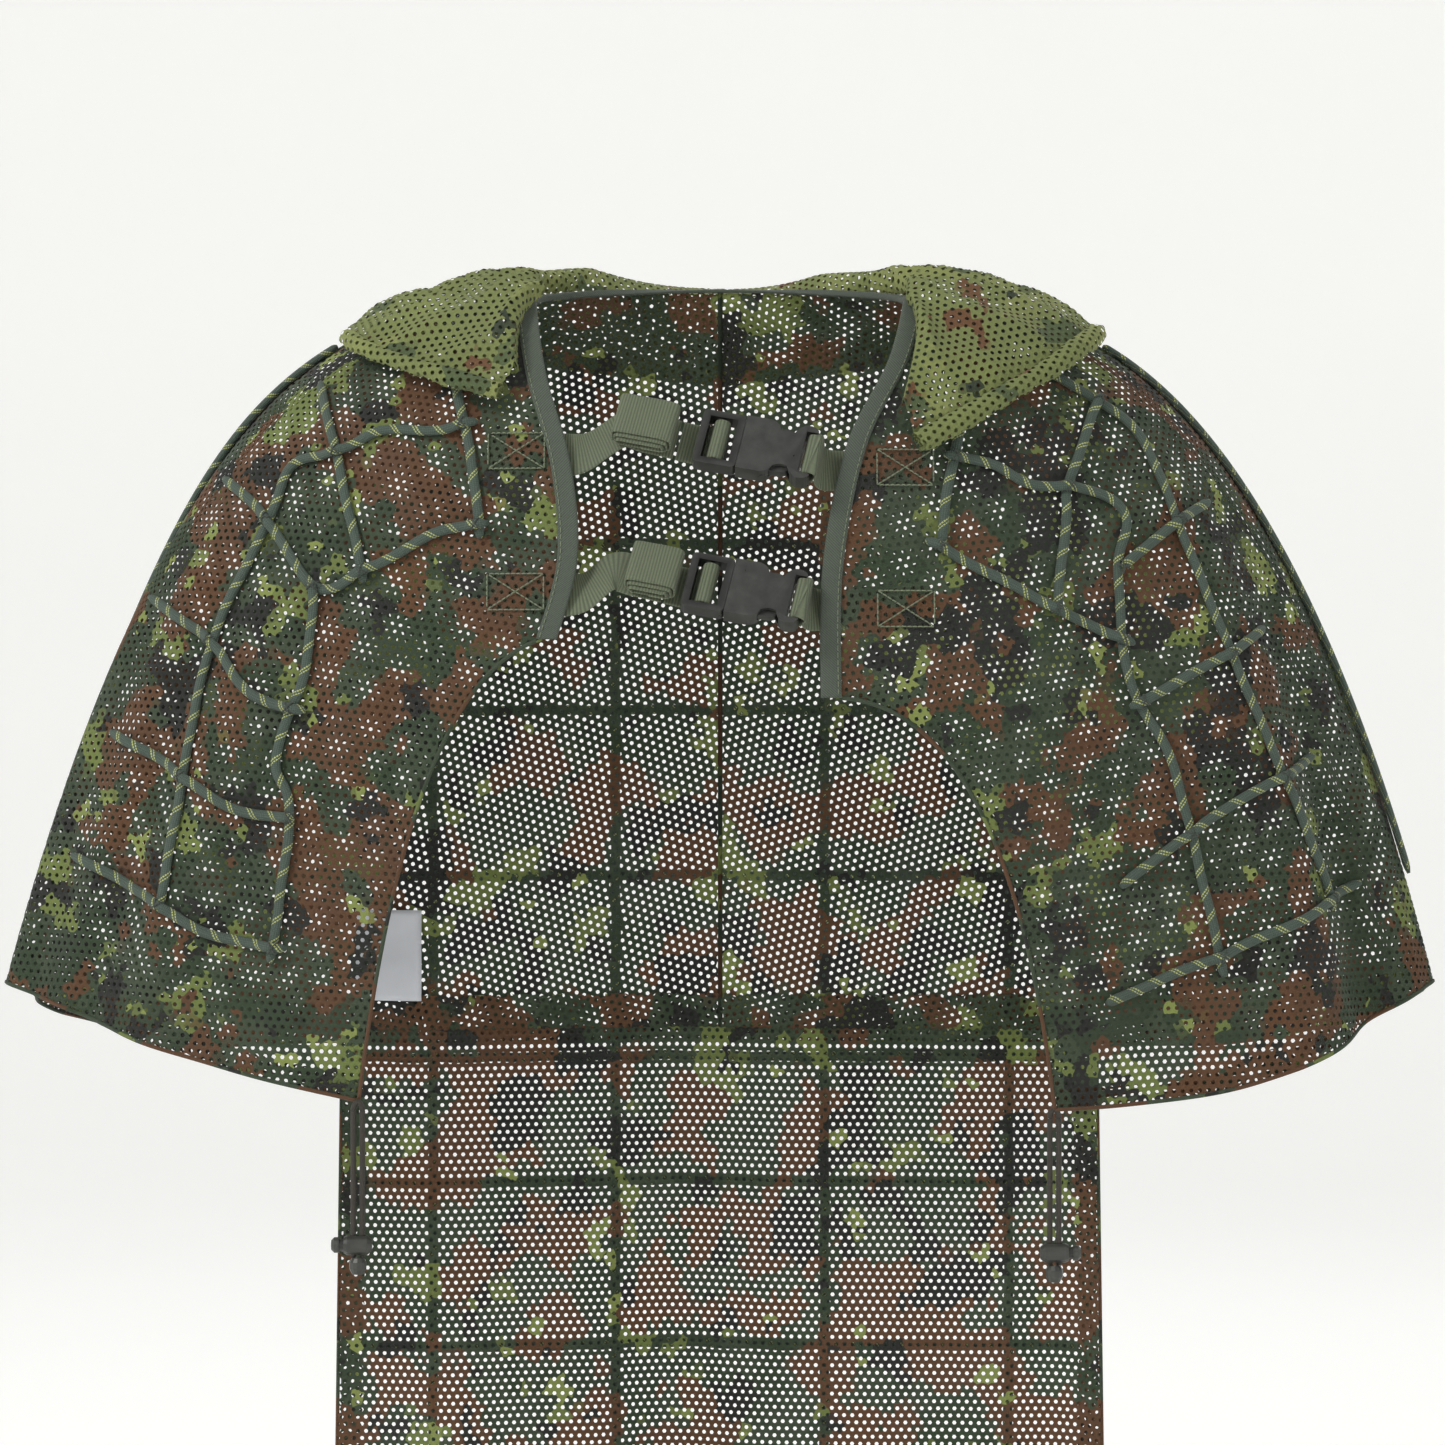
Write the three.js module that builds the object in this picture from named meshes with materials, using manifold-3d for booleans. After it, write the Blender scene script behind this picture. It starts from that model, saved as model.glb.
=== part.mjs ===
// An open-front camouflage mesh cape: the foundation garment of a ghillie suit, worn over the shoulders.
// Millimetres. +Z is up, the wearer faces -Y, and the wearer's left is +X.
// The origin is the centre of the neck opening, level with the tops of the shoulders.
import * as THREE from 'three';
import { mergeVertices } from 'three/addons/utils/BufferGeometryUtils.js';
import Module from 'manifold-3d';

const wasm = await Module();
wasm.setup();

// ---- Driving dimensions ----

const GAP = 0.3;                    // kept between pieces that touch
const CLOTH_THICKNESS = 2.4;
const NECK_HALF_WIDTH = 100;
const NECK_DEPTH = 62;              // front or back of the neck opening, from its centre
const HEM_HALF_WIDTH = 387;         // sleeve hem at the shoulder ridge
const HEM_DROP = 375;
const CHEST_SWELL = 66;             // how much deeper the chest is than the neck
const BACK_SWELL = 56;
const BODY_EASE = 70;               // the height over which the body swells
const WAIST_START = 230;            // below this the front comes back in
const WAIST_TAPER = 0.12;
const BACK_NECK_LIFT = 12;          // the nape stands higher than the sides of the neck
const BINDING_WIDTH = 11;
const NAPE_EASE = 2.4;              // the nape's binding stops this much short, where the cloth bends outward
const YOKE_DROP = 415;              // where the yoke's hem and the hanging panel meet
const BACK_LENGTH = 860;
const BACK_HALF_WIDTH = 215;
const BACK_FLARE = 7;
const RIDGE_EASE = 0.003;           // radians from the ridge to the edge of a back panel or its binding
const CORD_RADIUS = 2.6;
const CORD_LIFT = 6.4;              // cord centre above the middle of the cloth
const CORD_STEP = 21;
const WEB_WIDTH = 25;
const WEB_THICKNESS = 1.4;
const UNDER_PANEL = 4.2;            // sewn strap ends lie this far below the middle of the cloth
const STRAP_TILT = 32;              // degrees the strap faces upward, as the chest does
const STRAP_SLOPE = 12;             // degrees the buckles run down towards the wearer's left
const SHOCK_RADIUS = 1.5;
const SHOCK_SPREAD = 2.4;           // from the middle of a pair of strands to each strand
const SHOCK_LENGTH = 78;

// The shoulder ridge seen from in front: a cubic Bezier from the neck to the sleeve hem, for one side.
const RIDGE = new THREE.CubicBezierCurve(
  new THREE.Vector2(NECK_HALF_WIDTH, 0),
  new THREE.Vector2(240, -2),
  new THREE.Vector2(312, -85),
  new THREE.Vector2(HEM_HALF_WIDTH, -HEM_DROP),
);

// Each side's edges seen from in front, as [distance from the middle, drop below the neck].
// "edge" is the bound neck edge, "arch" the middle handle of the cut-away below it, "tip" the tail's point.
const FRONTS = {
  right: {
    sign: -1,
    edge: [[100, 0], [93, 45], [79, 95], [75, 145], [86, 188]],
    arch: [165, 210],
    tip: [193, 434],
    hemSag: 2,
  },
  left: {
    sign: 1,
    edge: [[100, 0], [90, 38], [67, 85], [54, 150], [53, 219]],
    arch: [152, 222],
    tip: [178, 438],
    hemSag: 8,
  },
};

// Cords on each front, as [distance from the middle, drop]. They cross where they are tacked together.
const FRONT_CORDS = {
  right: [
    [[148, 30], [140, 55], [130, 103], [127, 135]],
    [[216, 49], [205, 88], [196, 125], [188, 158]],
    [
      [128, 73], [148, 77], [180, 77], [204, 88], [230, 95],
      [242, 124], [269, 178], [281, 220], [289, 273], [299, 333],
    ],
    [[268, 100], [242, 124], [215, 160], [188, 152], [150, 132], [122, 127]],
    [[215, 158], [220, 204], [236, 252], [228, 280], [239, 360]],
    [[308, 165], [272, 190], [248, 218], [219, 226]],
    [[330, 237], [285, 262], [259, 278], [225, 283]],
    [[352, 304], [303, 328], [269, 346], [230, 352]],
  ],
  left: [
    [[170, 42], [203, 60], [223, 76], [234, 98], [252, 147], [276, 209], [299, 262], [334, 333]],
    [[135, 50], [128, 74], [121, 104], [116, 140]],
    [[203, 58], [186, 104], [184, 123], [178, 175]],
    [
      [118, 91], [145, 96], [166, 106], [200, 109], [216, 123],
      [212, 152], [218, 209], [237, 245], [249, 284], [269, 368],
    ],
    [[108, 136], [141, 153], [180, 173], [220, 190]],
    [[263, 113], [236, 131], [213, 150]],
    [[294, 181], [257, 203], [218, 224]],
    [[326, 249], [280, 271], [245, 295], [214, 320]],
    [[351, 318], [304, 340], [258, 360], [206, 382]],
  ],
};

const BACK_CORD_COLUMNS = [-165, -60, 60, 165];
const BACK_CORD_ROWS = [130, 225, 320, 424, 496, 590, 690, 790];
const BACK_COLUMN_TOP = 95;
const BACK_COLUMN_END = 825;
const SLEEVE_ROW_START = 0.3;       // radians round from the ridge to the end of a row on a sleeve
const HANGING_ROW_REACH = 205;      // half the length of a row on the hanging panel
const SLEEVE_COLUMN_ANGLE = 42;     // degrees round from the ridge to the cord down a sleeve's back

// Each strap's buckle sits at "centre", the plane where the male frame meets the female shell.
// "roll" is where the roll of spare webbing starts and ends along the strap. The lower one is shorter,
// because the male side has to slide out of its shell before the roll reaches the bound edge.
const STRAPS = {
  upper: { centre: [11, -115, -86], drops: { right: 88, left: 97 }, roll: [-68, -34] },
  lower: { centre: [5, -126, -162], drops: { right: 163, left: 172 }, roll: [-53.5, -26.5] },
};
const ROLL_BACK = -0.8;
const ROLL_FRONT = 11;

const BUCKLE = {
  width: 34,
  thickness: 9.5,
  maleLength: 23,
  femaleLength: 39.4,
  prongLength: 27,
  prongWidth: 3.2,
  prongThickness: 4.4,
  cavityHalfWidth: 14.4,
  cavityThickness: 5.4,
};

const LOCK = { radius: 5.4, length: 15, floor: 1.2, bore: 3.6, capRadius: 4.2, capLength: 4.2, press: 2 };

// ---- The surface that the cloth follows ----

function ridgeAt(level) {
  if (level <= 1) {
    return RIDGE.getPoint(Math.max(level, 0));
  }
  const slope = new THREE.Vector2().subVectors(RIDGE.v3, RIDGE.v2).multiplyScalar(3 * (level - 1));
  return RIDGE.v3.clone().add(slope);
}

// A point of the cape. "level" runs from 0 at the neck to 1 at the sleeve hem and on down the back panel;
// "angle" runs round the body in radians from the wearer's left ridge, by way of the back.
function drape(level, angle) {
  const ridge = ridgeAt(level);
  const sine = Math.sin(angle);
  const ease = 1 - Math.exp(ridge.y / BODY_EASE);
  const waist = WAIST_TAPER * Math.max(0, -ridge.y - WAIST_START);
  const front = NECK_DEPTH + CHEST_SWELL * ease - waist;
  const back = NECK_DEPTH + BACK_SWELL * ease;
  const depth = sine > 0 ? back : front;
  const lift = BACK_NECK_LIFT * Math.max(0, sine) * Math.exp(-6 * level);
  return new THREE.Vector3(ridge.x * Math.cos(angle), depth * sine, ridge.y + lift);
}

function drapeNormal(level, angle) {
  const step = 1e-3;
  const down = drape(level + step, angle).sub(drape(Math.max(level - step, 0), angle));
  const round = new THREE.Vector3().subVectors(drape(level, angle + step), drape(level, angle - step));
  return down.cross(round).normalize();
}

function lifted(level, angle, height) {
  return drape(level, angle).addScaledVector(drapeNormal(level, angle), height);
}

function levelAtDrop(drop) {
  let low = 0;
  let high = 1.7;
  for (let i = 0; i < 40; i++) {
    const middle = (low + high) / 2;
    if (-ridgeAt(middle).y < drop) {
      low = middle;
    } else {
      high = middle;
    }
  }
  return (low + high) / 2;
}

function levelAtRidgeWidth(width) {
  let low = 0;
  let high = 1;
  for (let i = 0; i < 40; i++) {
    const middle = (low + high) / 2;
    if (ridgeAt(middle).x < width) {
      low = middle;
    } else {
      high = middle;
    }
  }
  return (low + high) / 2;
}

// Where a place seen from in front, out from the middle and down from the neck, lies on the cape.
// "turn" is the angle in from the ridge.
function placed(out, drop) {
  const level = Math.max(levelAtDrop(drop), out > NECK_HALF_WIDTH ? levelAtRidgeWidth(out) : 0);
  const turn = Math.acos(Math.min(1, out / ridgeAt(level).x));
  return { level, turn };
}

// The angle round the body of a turn in from one side's ridge, towards the front or the back.
function roundTo(sign, turn, towardsBack) {
  const signed = towardsBack ? turn : -turn;
  return sign > 0 ? signed : Math.PI - signed;
}

// ---- Solids ----

function closedGeometry(positions, triangles) {
  const geometry = new THREE.BufferGeometry();
  geometry.setAttribute('position', new THREE.Float32BufferAttribute(positions, 3));
  let volume = 0;
  const corner = (i) => new THREE.Vector3().fromArray(positions, 3 * i);
  for (let i = 0; i < triangles.length; i += 3) {
    const [a, b, c] = triangles.slice(i, i + 3).map(corner);
    volume += a.dot(b.cross(c));
  }
  geometry.setIndex(volume < 0 ? [...triangles].reverse() : triangles);
  return geometry;
}

// A closed sheet over a grid: "pair(u, v)" gives the two faces' points at a place in the unit square.
function sheetGeometry(pair, columns, rows) {
  const positions = [];
  const triangles = [];
  const layer = (columns + 1) * (rows + 1);
  const faces = [[], []];
  for (let j = 0; j <= rows; j++) {
    for (let i = 0; i <= columns; i++) {
      const points = pair(i / columns, j / rows);
      faces.forEach((face, k) => face.push(...points[k].toArray()));
    }
  }
  positions.push(...faces[0], ...faces[1]);
  const at = (i, j) => j * (columns + 1) + i;
  const quad = (a, b, c, d) => triangles.push(a, b, c, a, c, d);
  for (let j = 0; j < rows; j++) {
    for (let i = 0; i < columns; i++) {
      const [a, b, c, d] = [at(i, j), at(i + 1, j), at(i + 1, j + 1), at(i, j + 1)];
      quad(a, b, c, d);
      quad(layer + d, layer + c, layer + b, layer + a);
    }
  }
  const wall = (a, b) => quad(b, a, layer + a, layer + b);
  for (let i = 0; i < columns; i++) {
    wall(at(i, 0), at(i + 1, 0));
    wall(at(i + 1, rows), at(i, rows));
  }
  for (let j = 0; j < rows; j++) {
    wall(at(0, j + 1), at(0, j));
    wall(at(columns, j), at(columns, j + 1));
  }
  return closedGeometry(positions, triangles);
}

// A sheet that follows the cape between two heights above its middle surface.
function clothGeometry(place, columns, rows, inner = -CLOTH_THICKNESS / 2, outer = CLOTH_THICKNESS / 2) {
  const height = (value, u, v) => (typeof value === 'function' ? value(u, v) : value);
  return sheetGeometry((u, v) => {
    const { level, angle } = place(u, v);
    return [lifted(level, angle, height(outer, u, v)), lifted(level, angle, height(inner, u, v))];
  }, columns, rows);
}

// A length of webbing along a curve. "across(u)" is the direction of its width.
function strapGeometry(curve, across, steps) {
  return sheetGeometry((u, v) => {
    const side = across(u).normalize();
    const point = curve.getPoint(u);
    const normal = curve.getTangent(u).cross(side).normalize();
    const middle = point.addScaledVector(side, (v - 0.5) * WEB_WIDTH);
    return [0.5, -0.5].map((half) => middle.clone().addScaledVector(normal, half * WEB_THICKNESS));
  }, steps, 1);
}

function tubeGeometry(curve, radius, sides, steps) {
  const section = new THREE.Shape();
  for (let i = 0; i < sides; i++) {
    const turn = (2 * Math.PI * i) / sides;
    const [x, y] = [radius * Math.cos(turn), radius * Math.sin(turn)];
    if (i === 0) {
      section.moveTo(x, y);
    } else {
      section.lineTo(x, y);
    }
  }
  section.closePath();
  const options = { steps, extrudePath: curve, bevelEnabled: false, curveSegments: 1 };
  return new THREE.ExtrudeGeometry(section, options);
}

function solidOf(geometry) {
  const bare = geometry.index ? geometry.toNonIndexed() : geometry.clone();
  bare.deleteAttribute('normal');
  bare.deleteAttribute('uv');
  const merged = mergeVertices(bare, 1e-3);
  return new wasm.Manifold(new wasm.Mesh({
    numProp: 3,
    vertProperties: merged.attributes.position.array,
    triVerts: new Uint32Array(merged.index.array),
  }));
}

function geometryOf(solid) {
  const mesh = solid.getMesh();
  const geometry = new THREE.BufferGeometry();
  const positions = new Float32Array(mesh.numVert * 3);
  for (let i = 0; i < mesh.numVert; i++) {
    positions.set(mesh.vertProperties.subarray(i * mesh.numProp, i * mesh.numProp + 3), 3 * i);
  }
  geometry.setAttribute('position', new THREE.BufferAttribute(positions, 3));
  geometry.setIndex(new THREE.BufferAttribute(mesh.triVerts, 1));
  return geometry;
}

function union(geometries) {
  return geometryOf(geometries.map(solidOf).reduce((whole, next) => whole.add(next)));
}

function boxSolid(low, high) {
  const size = high.map((value, i) => value - low[i]);
  const box = new THREE.BoxGeometry(...size);
  box.translate(...low.map((value, i) => value + size[i] / 2));
  return solidOf(box);
}

function plateGeometry(outline, thickness) {
  const options = { depth: thickness, bevelEnabled: false, curveSegments: 5 };
  const plate = new THREE.ExtrudeGeometry(outline, options);
  plate.translate(0, 0, -thickness / 2);
  return plate;
}

function roundedRectangle(left, bottom, right, top, radius) {
  const shape = new THREE.Shape();
  shape.moveTo(left + radius, bottom);
  shape.lineTo(right - radius, bottom);
  shape.quadraticCurveTo(right, bottom, right, bottom + radius);
  shape.lineTo(right, top - radius);
  shape.quadraticCurveTo(right, top, right - radius, top);
  shape.lineTo(left + radius, top);
  shape.quadraticCurveTo(left, top, left, top - radius);
  shape.lineTo(left, bottom + radius);
  shape.quadraticCurveTo(left, bottom, left + radius, bottom);
  return shape;
}

// ---- Scene graph ----

const cape = new THREE.Group();

function material(color, roughness, metalness = 0) {
  return () => new THREE.MeshStandardMaterial({ color, roughness, metalness, side: THREE.DoubleSide });
}

const MATERIALS = {
  mesh: material(0x4d5a33, 0.95),
  tape: material(0x55594a, 0.85),
  webbing: material(0x626a4e, 0.85),
  cord: material(0x566052, 0.9),
  shock: material(0x6a5f55, 0.8),
  plastic: material(0x33362f, 0.45),
  label: material(0xb9bcc4, 0.7),
  steel: material(0x9a9c9e, 0.3, 1),
};

function addPiece(parent, name, geometry, finish) {
  const mesh = new THREE.Mesh(geometry, MATERIALS[finish]());
  mesh.name = name;
  parent.add(mesh);
  return mesh;
}

// ---- Cloth panels ----

// The bound neck edge of one front. "v" runs from the ridge to its lower end, and "inward" moves it across
// the cloth.
function neckEdge(front, v, inward) {
  const points = front.edge.map(([out, drop]) => new THREE.Vector2(out, drop));
  const point = new THREE.SplineCurve(points).getPoint(v);
  return placed(point.x + inward, Math.max(point.y, 0));
}

function archEdge(front, u, start) {
  const [endOut, endDrop] = front.edge.at(-1);
  const arch = new THREE.QuadraticBezierCurve(
    new THREE.Vector2(endOut + start, endDrop),
    new THREE.Vector2(...front.arch),
    new THREE.Vector2(...front.tip),
  );
  const point = arch.getPoint(u);
  return placed(point.x, point.y);
}

function hemEdge(front, v) {
  const tip = placed(...front.tip);
  const turn = v * tip.turn;
  const share = (1 - Math.cos(turn)) / (1 - Math.cos(tip.turn));
  const sag = (front.hemSag / HEM_DROP) * Math.sin(Math.PI * share);
  return { level: 1 + share * (tip.level - 1) + sag, turn };
}

// A front panel is the patch between its neck edge (u = 0), sleeve hem (u = 1), ridge (v = 0) and
// arch (v = 1).
function frontPlace(front, u, v) {
  const seam = BINDING_WIDTH + GAP;
  const ridgeStart = neckEdge(front, 0, seam).level;
  const ridge = { level: ridgeStart + u * (1 - ridgeStart), turn: 0 };
  const [neck, hem, arch] = [neckEdge(front, v, seam), hemEdge(front, v), archEdge(front, u, seam)];
  const corners = [
    neckEdge(front, 0, seam), hemEdge(front, 0), neckEdge(front, 1, seam), hemEdge(front, 1),
  ];
  const blend = (key) => (1 - u) * neck[key] + u * hem[key] + (1 - v) * ridge[key] + v * arch[key]
    - (1 - u) * (1 - v) * corners[0][key] - u * (1 - v) * corners[1][key]
    - (1 - u) * v * corners[2][key] - u * v * corners[3][key];
  const halfGap = RIDGE_EASE * (1 - v);
  const turn = Math.max(0, blend('turn')) + halfGap;
  return { level: blend('level'), angle: roundTo(front.sign, turn, false) };
}

function addFront(side, front) {
  const panel = (u, v) => frontPlace(front, u, v);
  addPiece(cape, `front_panel_${side}`, clothGeometry(panel, 12, 12), 'mesh');
  const strip = (u, v) => {
    const { level, turn } = neckEdge(front, v, u * BINDING_WIDTH);
    return { level, angle: roundTo(front.sign, turn + 0.004 * (1 - v), false) };
  };
  addPiece(cape, `neck_binding_${side}`, clothGeometry(strip, 1, 18, -1.8, 1.8), 'tape');
}

function addBack() {
  const start = levelAtRidgeWidth(NECK_HALF_WIDTH + BINDING_WIDTH + GAP);
  const stripEnd = levelAtRidgeWidth(NECK_HALF_WIDTH + BINDING_WIDTH - NAPE_EASE);
  const seamLevel = levelAtDrop(YOKE_DROP);
  const round = (u) => RIDGE_EASE + u * (Math.PI - 2 * RIDGE_EASE);
  const yokeEnd = (turn) => 1 + (seamLevel - 1) * Math.min(1, 1.4 * Math.sin(turn));
  for (const [side, front] of Object.entries(FRONTS)) {
    const half = (u, v) => {
      const turn = RIDGE_EASE + u * (Math.PI / 2 - RIDGE_EASE);
      const level = start + v * (yokeEnd(turn) - start);
      const seam = (u * GAP) / 2 / ridgeAt(level).x;
      return { level, angle: roundTo(front.sign, turn - seam, true) };
    };
    addPiece(cape, `back_yoke_${side}`, clothGeometry(half, 10, 9), 'mesh');
  }
  const strip = (u, v) => ({ level: v * stripEnd, angle: round(u) });
  addPiece(cape, 'neck_binding_back', clothGeometry(strip, 20, 1, -1.8, 1.8), 'tape');
  const panelStart = levelAtDrop(YOKE_DROP + 3 * GAP);
  const panelEnd = levelAtDrop(BACK_LENGTH);
  const panel = (u, v) => {
    const level = panelStart + v * (panelEnd - panelStart);
    const half = BACK_HALF_WIDTH + BACK_FLARE * v;
    return { level, angle: Math.acos(((2 * u - 1) * half) / ridgeAt(level).x) };
  };
  addPiece(cape, 'back_panel', clothGeometry(panel, 12, 8), 'mesh');
}

function addLabel() {
  const [out, drop, width, height] = [190, 365, 36, 52];
  const place = (u, v) => {
    const { level, turn } = placed(out + (u - 0.5) * width, drop + (v - 0.5) * height);
    return { level, angle: roundTo(-1, turn, true) };
  };
  addPiece(cape, 'care_label', clothGeometry(place, 3, 3, -3.2, -2.2), 'label');
}

// ---- Collapsed hood ----

// The hood lies as a crumpled roll round the nape, and its two front ends fall over the shoulders.
// Stations go round from the wearer's left front, as [angle in degrees, near edge, far edge, loft].
// An edge is given by how far out the ridge is at its level.
const HOOD_STATIONS = [
  [-67, 256, 268, 5],
  [-50, 150, 250, 8],
  [-28, 118, 220, 9],
  [0, 116, 196, 8],
  [45, 118, 215, 13],
  [90, 118, 235, 18],
  [135, 118, 215, 13],
  [180, 116, 200, 7],
  [208, 118, 220, 8],
  [228, 150, 240, 7],
  [242, 234, 244, 5],
];

function hoodStation(u) {
  const place = u * (HOOD_STATIONS.length - 1);
  const first = Math.min(Math.floor(place), HOOD_STATIONS.length - 2);
  return HOOD_STATIONS[first].map((value, i) =>
    THREE.MathUtils.lerp(value, HOOD_STATIONS[first + 1][i], place - first));
}

function hoodPlace(u, v) {
  const [degrees, near, far] = hoodStation(u);
  const level = THREE.MathUtils.lerp(levelAtRidgeWidth(near), levelAtRidgeWidth(far), v);
  return { level, angle: THREE.MathUtils.degToRad(degrees) };
}

function addHood() {
  const rest = 10.8;                // clear of the cords that run beneath the hood
  const loft = (u, v) => {
    const [, , , full] = hoodStation(u);
    return rest + 3 + full * Math.sin(Math.PI * (0.12 + 0.76 * v));
  };
  addPiece(cape, 'hood', clothGeometry(hoodPlace, 24, 5, rest, loft), 'mesh');
}

// ---- Cord nets ----

// A curve laid on the cape through places given by "place(t)", at the cords' height above the cloth.
function laidCurve(place, count) {
  const points = [];
  for (let i = 0; i <= count; i++) {
    const { level, angle } = place(i / count);
    points.push(lifted(level, angle, CORD_LIFT));
  }
  return new THREE.CatmullRomCurve3(points);
}

function cordOnFront(sign, points) {
  const route = new THREE.SplineCurve(points.map(([out, drop]) => new THREE.Vector2(out, drop)));
  const count = Math.max(4, Math.round(route.getLength() / CORD_STEP));
  return laidCurve((t) => {
    const point = route.getPointAt(t);
    const { level, turn } = placed(point.x, point.y);
    return { level, angle: roundTo(sign, turn, false) };
  }, count);
}

function cordTube(curve, spacing = CORD_STEP) {
  return tubeGeometry(curve, CORD_RADIUS, 4, Math.max(3, Math.round(curve.getLength() / spacing)));
}

function ridgeCord(sign) {
  const points = [];
  for (let level = 0.3; level < 0.93; level += 0.09) {
    points.push(lifted(level, roundTo(sign, 0.05, false), CORD_LIFT));
  }
  return new THREE.CatmullRomCurve3(points);
}

function addFrontNet(side, front) {
  const cords = FRONT_CORDS[side].map((points) => cordOnFront(front.sign, points));
  addPiece(cape, `cord_net_front_${side}`, union(cords.map((curve) => cordTube(curve))), 'cord');
  addPiece(cape, `ridge_cord_${side}`, cordTube(ridgeCord(front.sign)), 'cord');
}

function addBackNet() {
  const tubes = BACK_CORD_COLUMNS.map((x) => {
    const place = (t) => {
      const drop = THREE.MathUtils.lerp(BACK_COLUMN_TOP, BACK_COLUMN_END, t);
      const { level, turn } = placed(Math.abs(x), drop);
      return { level, angle: roundTo(Math.sign(x), turn, true) };
    };
    return cordTube(laidCurve(place, 12), 60);
  });
  for (const drop of BACK_CORD_ROWS) {
    const level = levelAtDrop(drop);
    const ridge = ridgeAt(level).x;
    const end = drop < YOKE_DROP - 60 ? SLEEVE_ROW_START : Math.acos(HANGING_ROW_REACH / ridge);
    const place = (t) => ({ level, angle: end + t * (Math.PI - 2 * end) });
    tubes.push(cordTube(laidCurve(place, 16), 36));
  }
  for (const sign of [-1, 1]) {
    const angle = roundTo(sign, THREE.MathUtils.degToRad(SLEEVE_COLUMN_ANGLE), true);
    tubes.push(cordTube(laidCurve((t) => ({ level: 0.42 + 0.54 * t, angle }), 10), 34));
  }
  addPiece(cape, 'cord_net_back', union(tubes), 'cord');
}

// ---- Straps and side-release buckles ----

// In a buckle's own frame +X runs along the strap to the wearer's left, +Y goes up across it and +Z
// points outward.
function buckleFrame(strap) {
  const tilt = THREE.MathUtils.degToRad(STRAP_TILT);
  const along = new THREE.Vector3(1, 0, 0);
  const across = new THREE.Vector3(0, Math.sin(tilt), Math.cos(tilt));
  const out = new THREE.Vector3(0, -Math.cos(tilt), Math.sin(tilt));
  const frame = new THREE.Group();
  frame.quaternion.setFromRotationMatrix(new THREE.Matrix4().makeBasis(along, across, out));
  frame.rotateZ(-THREE.MathUtils.degToRad(STRAP_SLOPE));
  frame.position.fromArray(strap.centre);
  frame.updateMatrixWorld(true);
  return frame;
}

function maleFrame() {
  const { width, thickness, maleLength } = BUCKLE;
  const outline = roundedRectangle(-maleLength, -width / 2, 0, width / 2, 3);
  const plate = plateGeometry(outline, thickness - 1.5);
  const bar = boxSolid([-13.5, -14.5, -1.5], [-10.5, 14.5, 1.5]);
  const window = boxSolid([-19, -13.4, -thickness], [-4, 13.4, thickness]);
  const tongue = boxSolid([-1, -3, -2.2], [14, 3, 2.2]);
  return geometryOf(solidOf(plate).subtract(window).add(bar).add(tongue));
}

function prong(side) {
  const { prongLength, prongWidth, prongThickness, cavityHalfWidth } = BUCKLE;
  const outer = cavityHalfWidth - 0.6;
  const shape = new THREE.Shape();
  shape.moveTo(GAP, outer - prongWidth);
  shape.lineTo(prongLength - 9, outer - prongWidth);
  shape.lineTo(prongLength - 2, outer - prongWidth - 2);
  shape.quadraticCurveTo(prongLength + 1, outer - prongWidth, prongLength, outer - 1.5);
  shape.quadraticCurveTo(prongLength - 2, outer, prongLength - 4, outer);
  shape.lineTo(GAP, outer);
  shape.closePath();
  const geometry = plateGeometry(shape, prongThickness);
  return side > 0 ? geometry : geometry.rotateX(Math.PI);
}

function femaleShell() {
  const { width, thickness, femaleLength, cavityHalfWidth, cavityThickness } = BUCKLE;
  const half = width / 2;
  const outline = new THREE.Shape();
  outline.moveTo(GAP, -half);
  outline.lineTo(13, -half);
  outline.quadraticCurveTo(18, -half + 1, 19, -half + 5);
  outline.quadraticCurveTo(23, -half + 8, 27, -half + 6);
  outline.quadraticCurveTo(29, -half + 1, 33, -half);
  outline.quadraticCurveTo(femaleLength, -half, femaleLength, -half + 4);
  outline.lineTo(femaleLength, half - 4);
  outline.quadraticCurveTo(femaleLength, half, 33, half);
  outline.quadraticCurveTo(29, half - 1, 27, half - 6);
  outline.quadraticCurveTo(23, half - 8, 19, half - 5);
  outline.quadraticCurveTo(18, half - 1, 13, half);
  outline.lineTo(GAP, half);
  outline.closePath();
  const cavityCorner = [30.5, cavityHalfWidth, cavityThickness / 2];
  const cavity = boxSolid([-1, -cavityHalfWidth, -cavityThickness / 2], cavityCorner);
  const slot = boxSolid([33, -13.2, -thickness], [36.6, 13.2, thickness]);
  const above = boxSolid([36, -13.2, 2], [femaleLength + 1, 13.2, thickness]);
  const below = boxSolid([36, -13.2, -thickness], [femaleLength + 1, 13.2, -2]);
  return geometryOf(solidOf(plateGeometry(outline, thickness)).subtract(cavity).subtract(slot)
    .subtract(above).subtract(below));
}

function localCurve(points) {
  const places = points.map(([x, z]) => new THREE.Vector3(x, 0, z));
  return new THREE.CatmullRomCurve3(places, false, 'centripetal');
}

function rolledWebbing([left, right]) {
  const outline = roundedRectangle(left, ROLL_BACK, right, ROLL_FRONT, 5);
  const options = { depth: WEB_WIDTH, bevelEnabled: false, curveSegments: 5 };
  const roll = new THREE.ExtrudeGeometry(outline, options);
  roll.rotateX(Math.PI / 2);
  roll.translate(0, WEB_WIDTH / 2, 0);
  return roll;
}

// The stitched end of a strap lies under the front panel, and comes out past the bound edge.
function underPanel(sign, out, drop) {
  const { level, turn } = placed(out, drop);
  return lifted(level, roundTo(sign, turn, false), -UNDER_PANEL);
}

// The direction up the cloth beside a front's bound edge.
function clothUp(front, drop) {
  const [low, high] = [drop + 5, drop - 5].map((height) => {
    const { level, turn } = placed(NECK_HALF_WIDTH, height);
    return drape(level, roundTo(front.sign, turn, false));
  });
  return high.sub(low).normalize();
}

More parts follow.
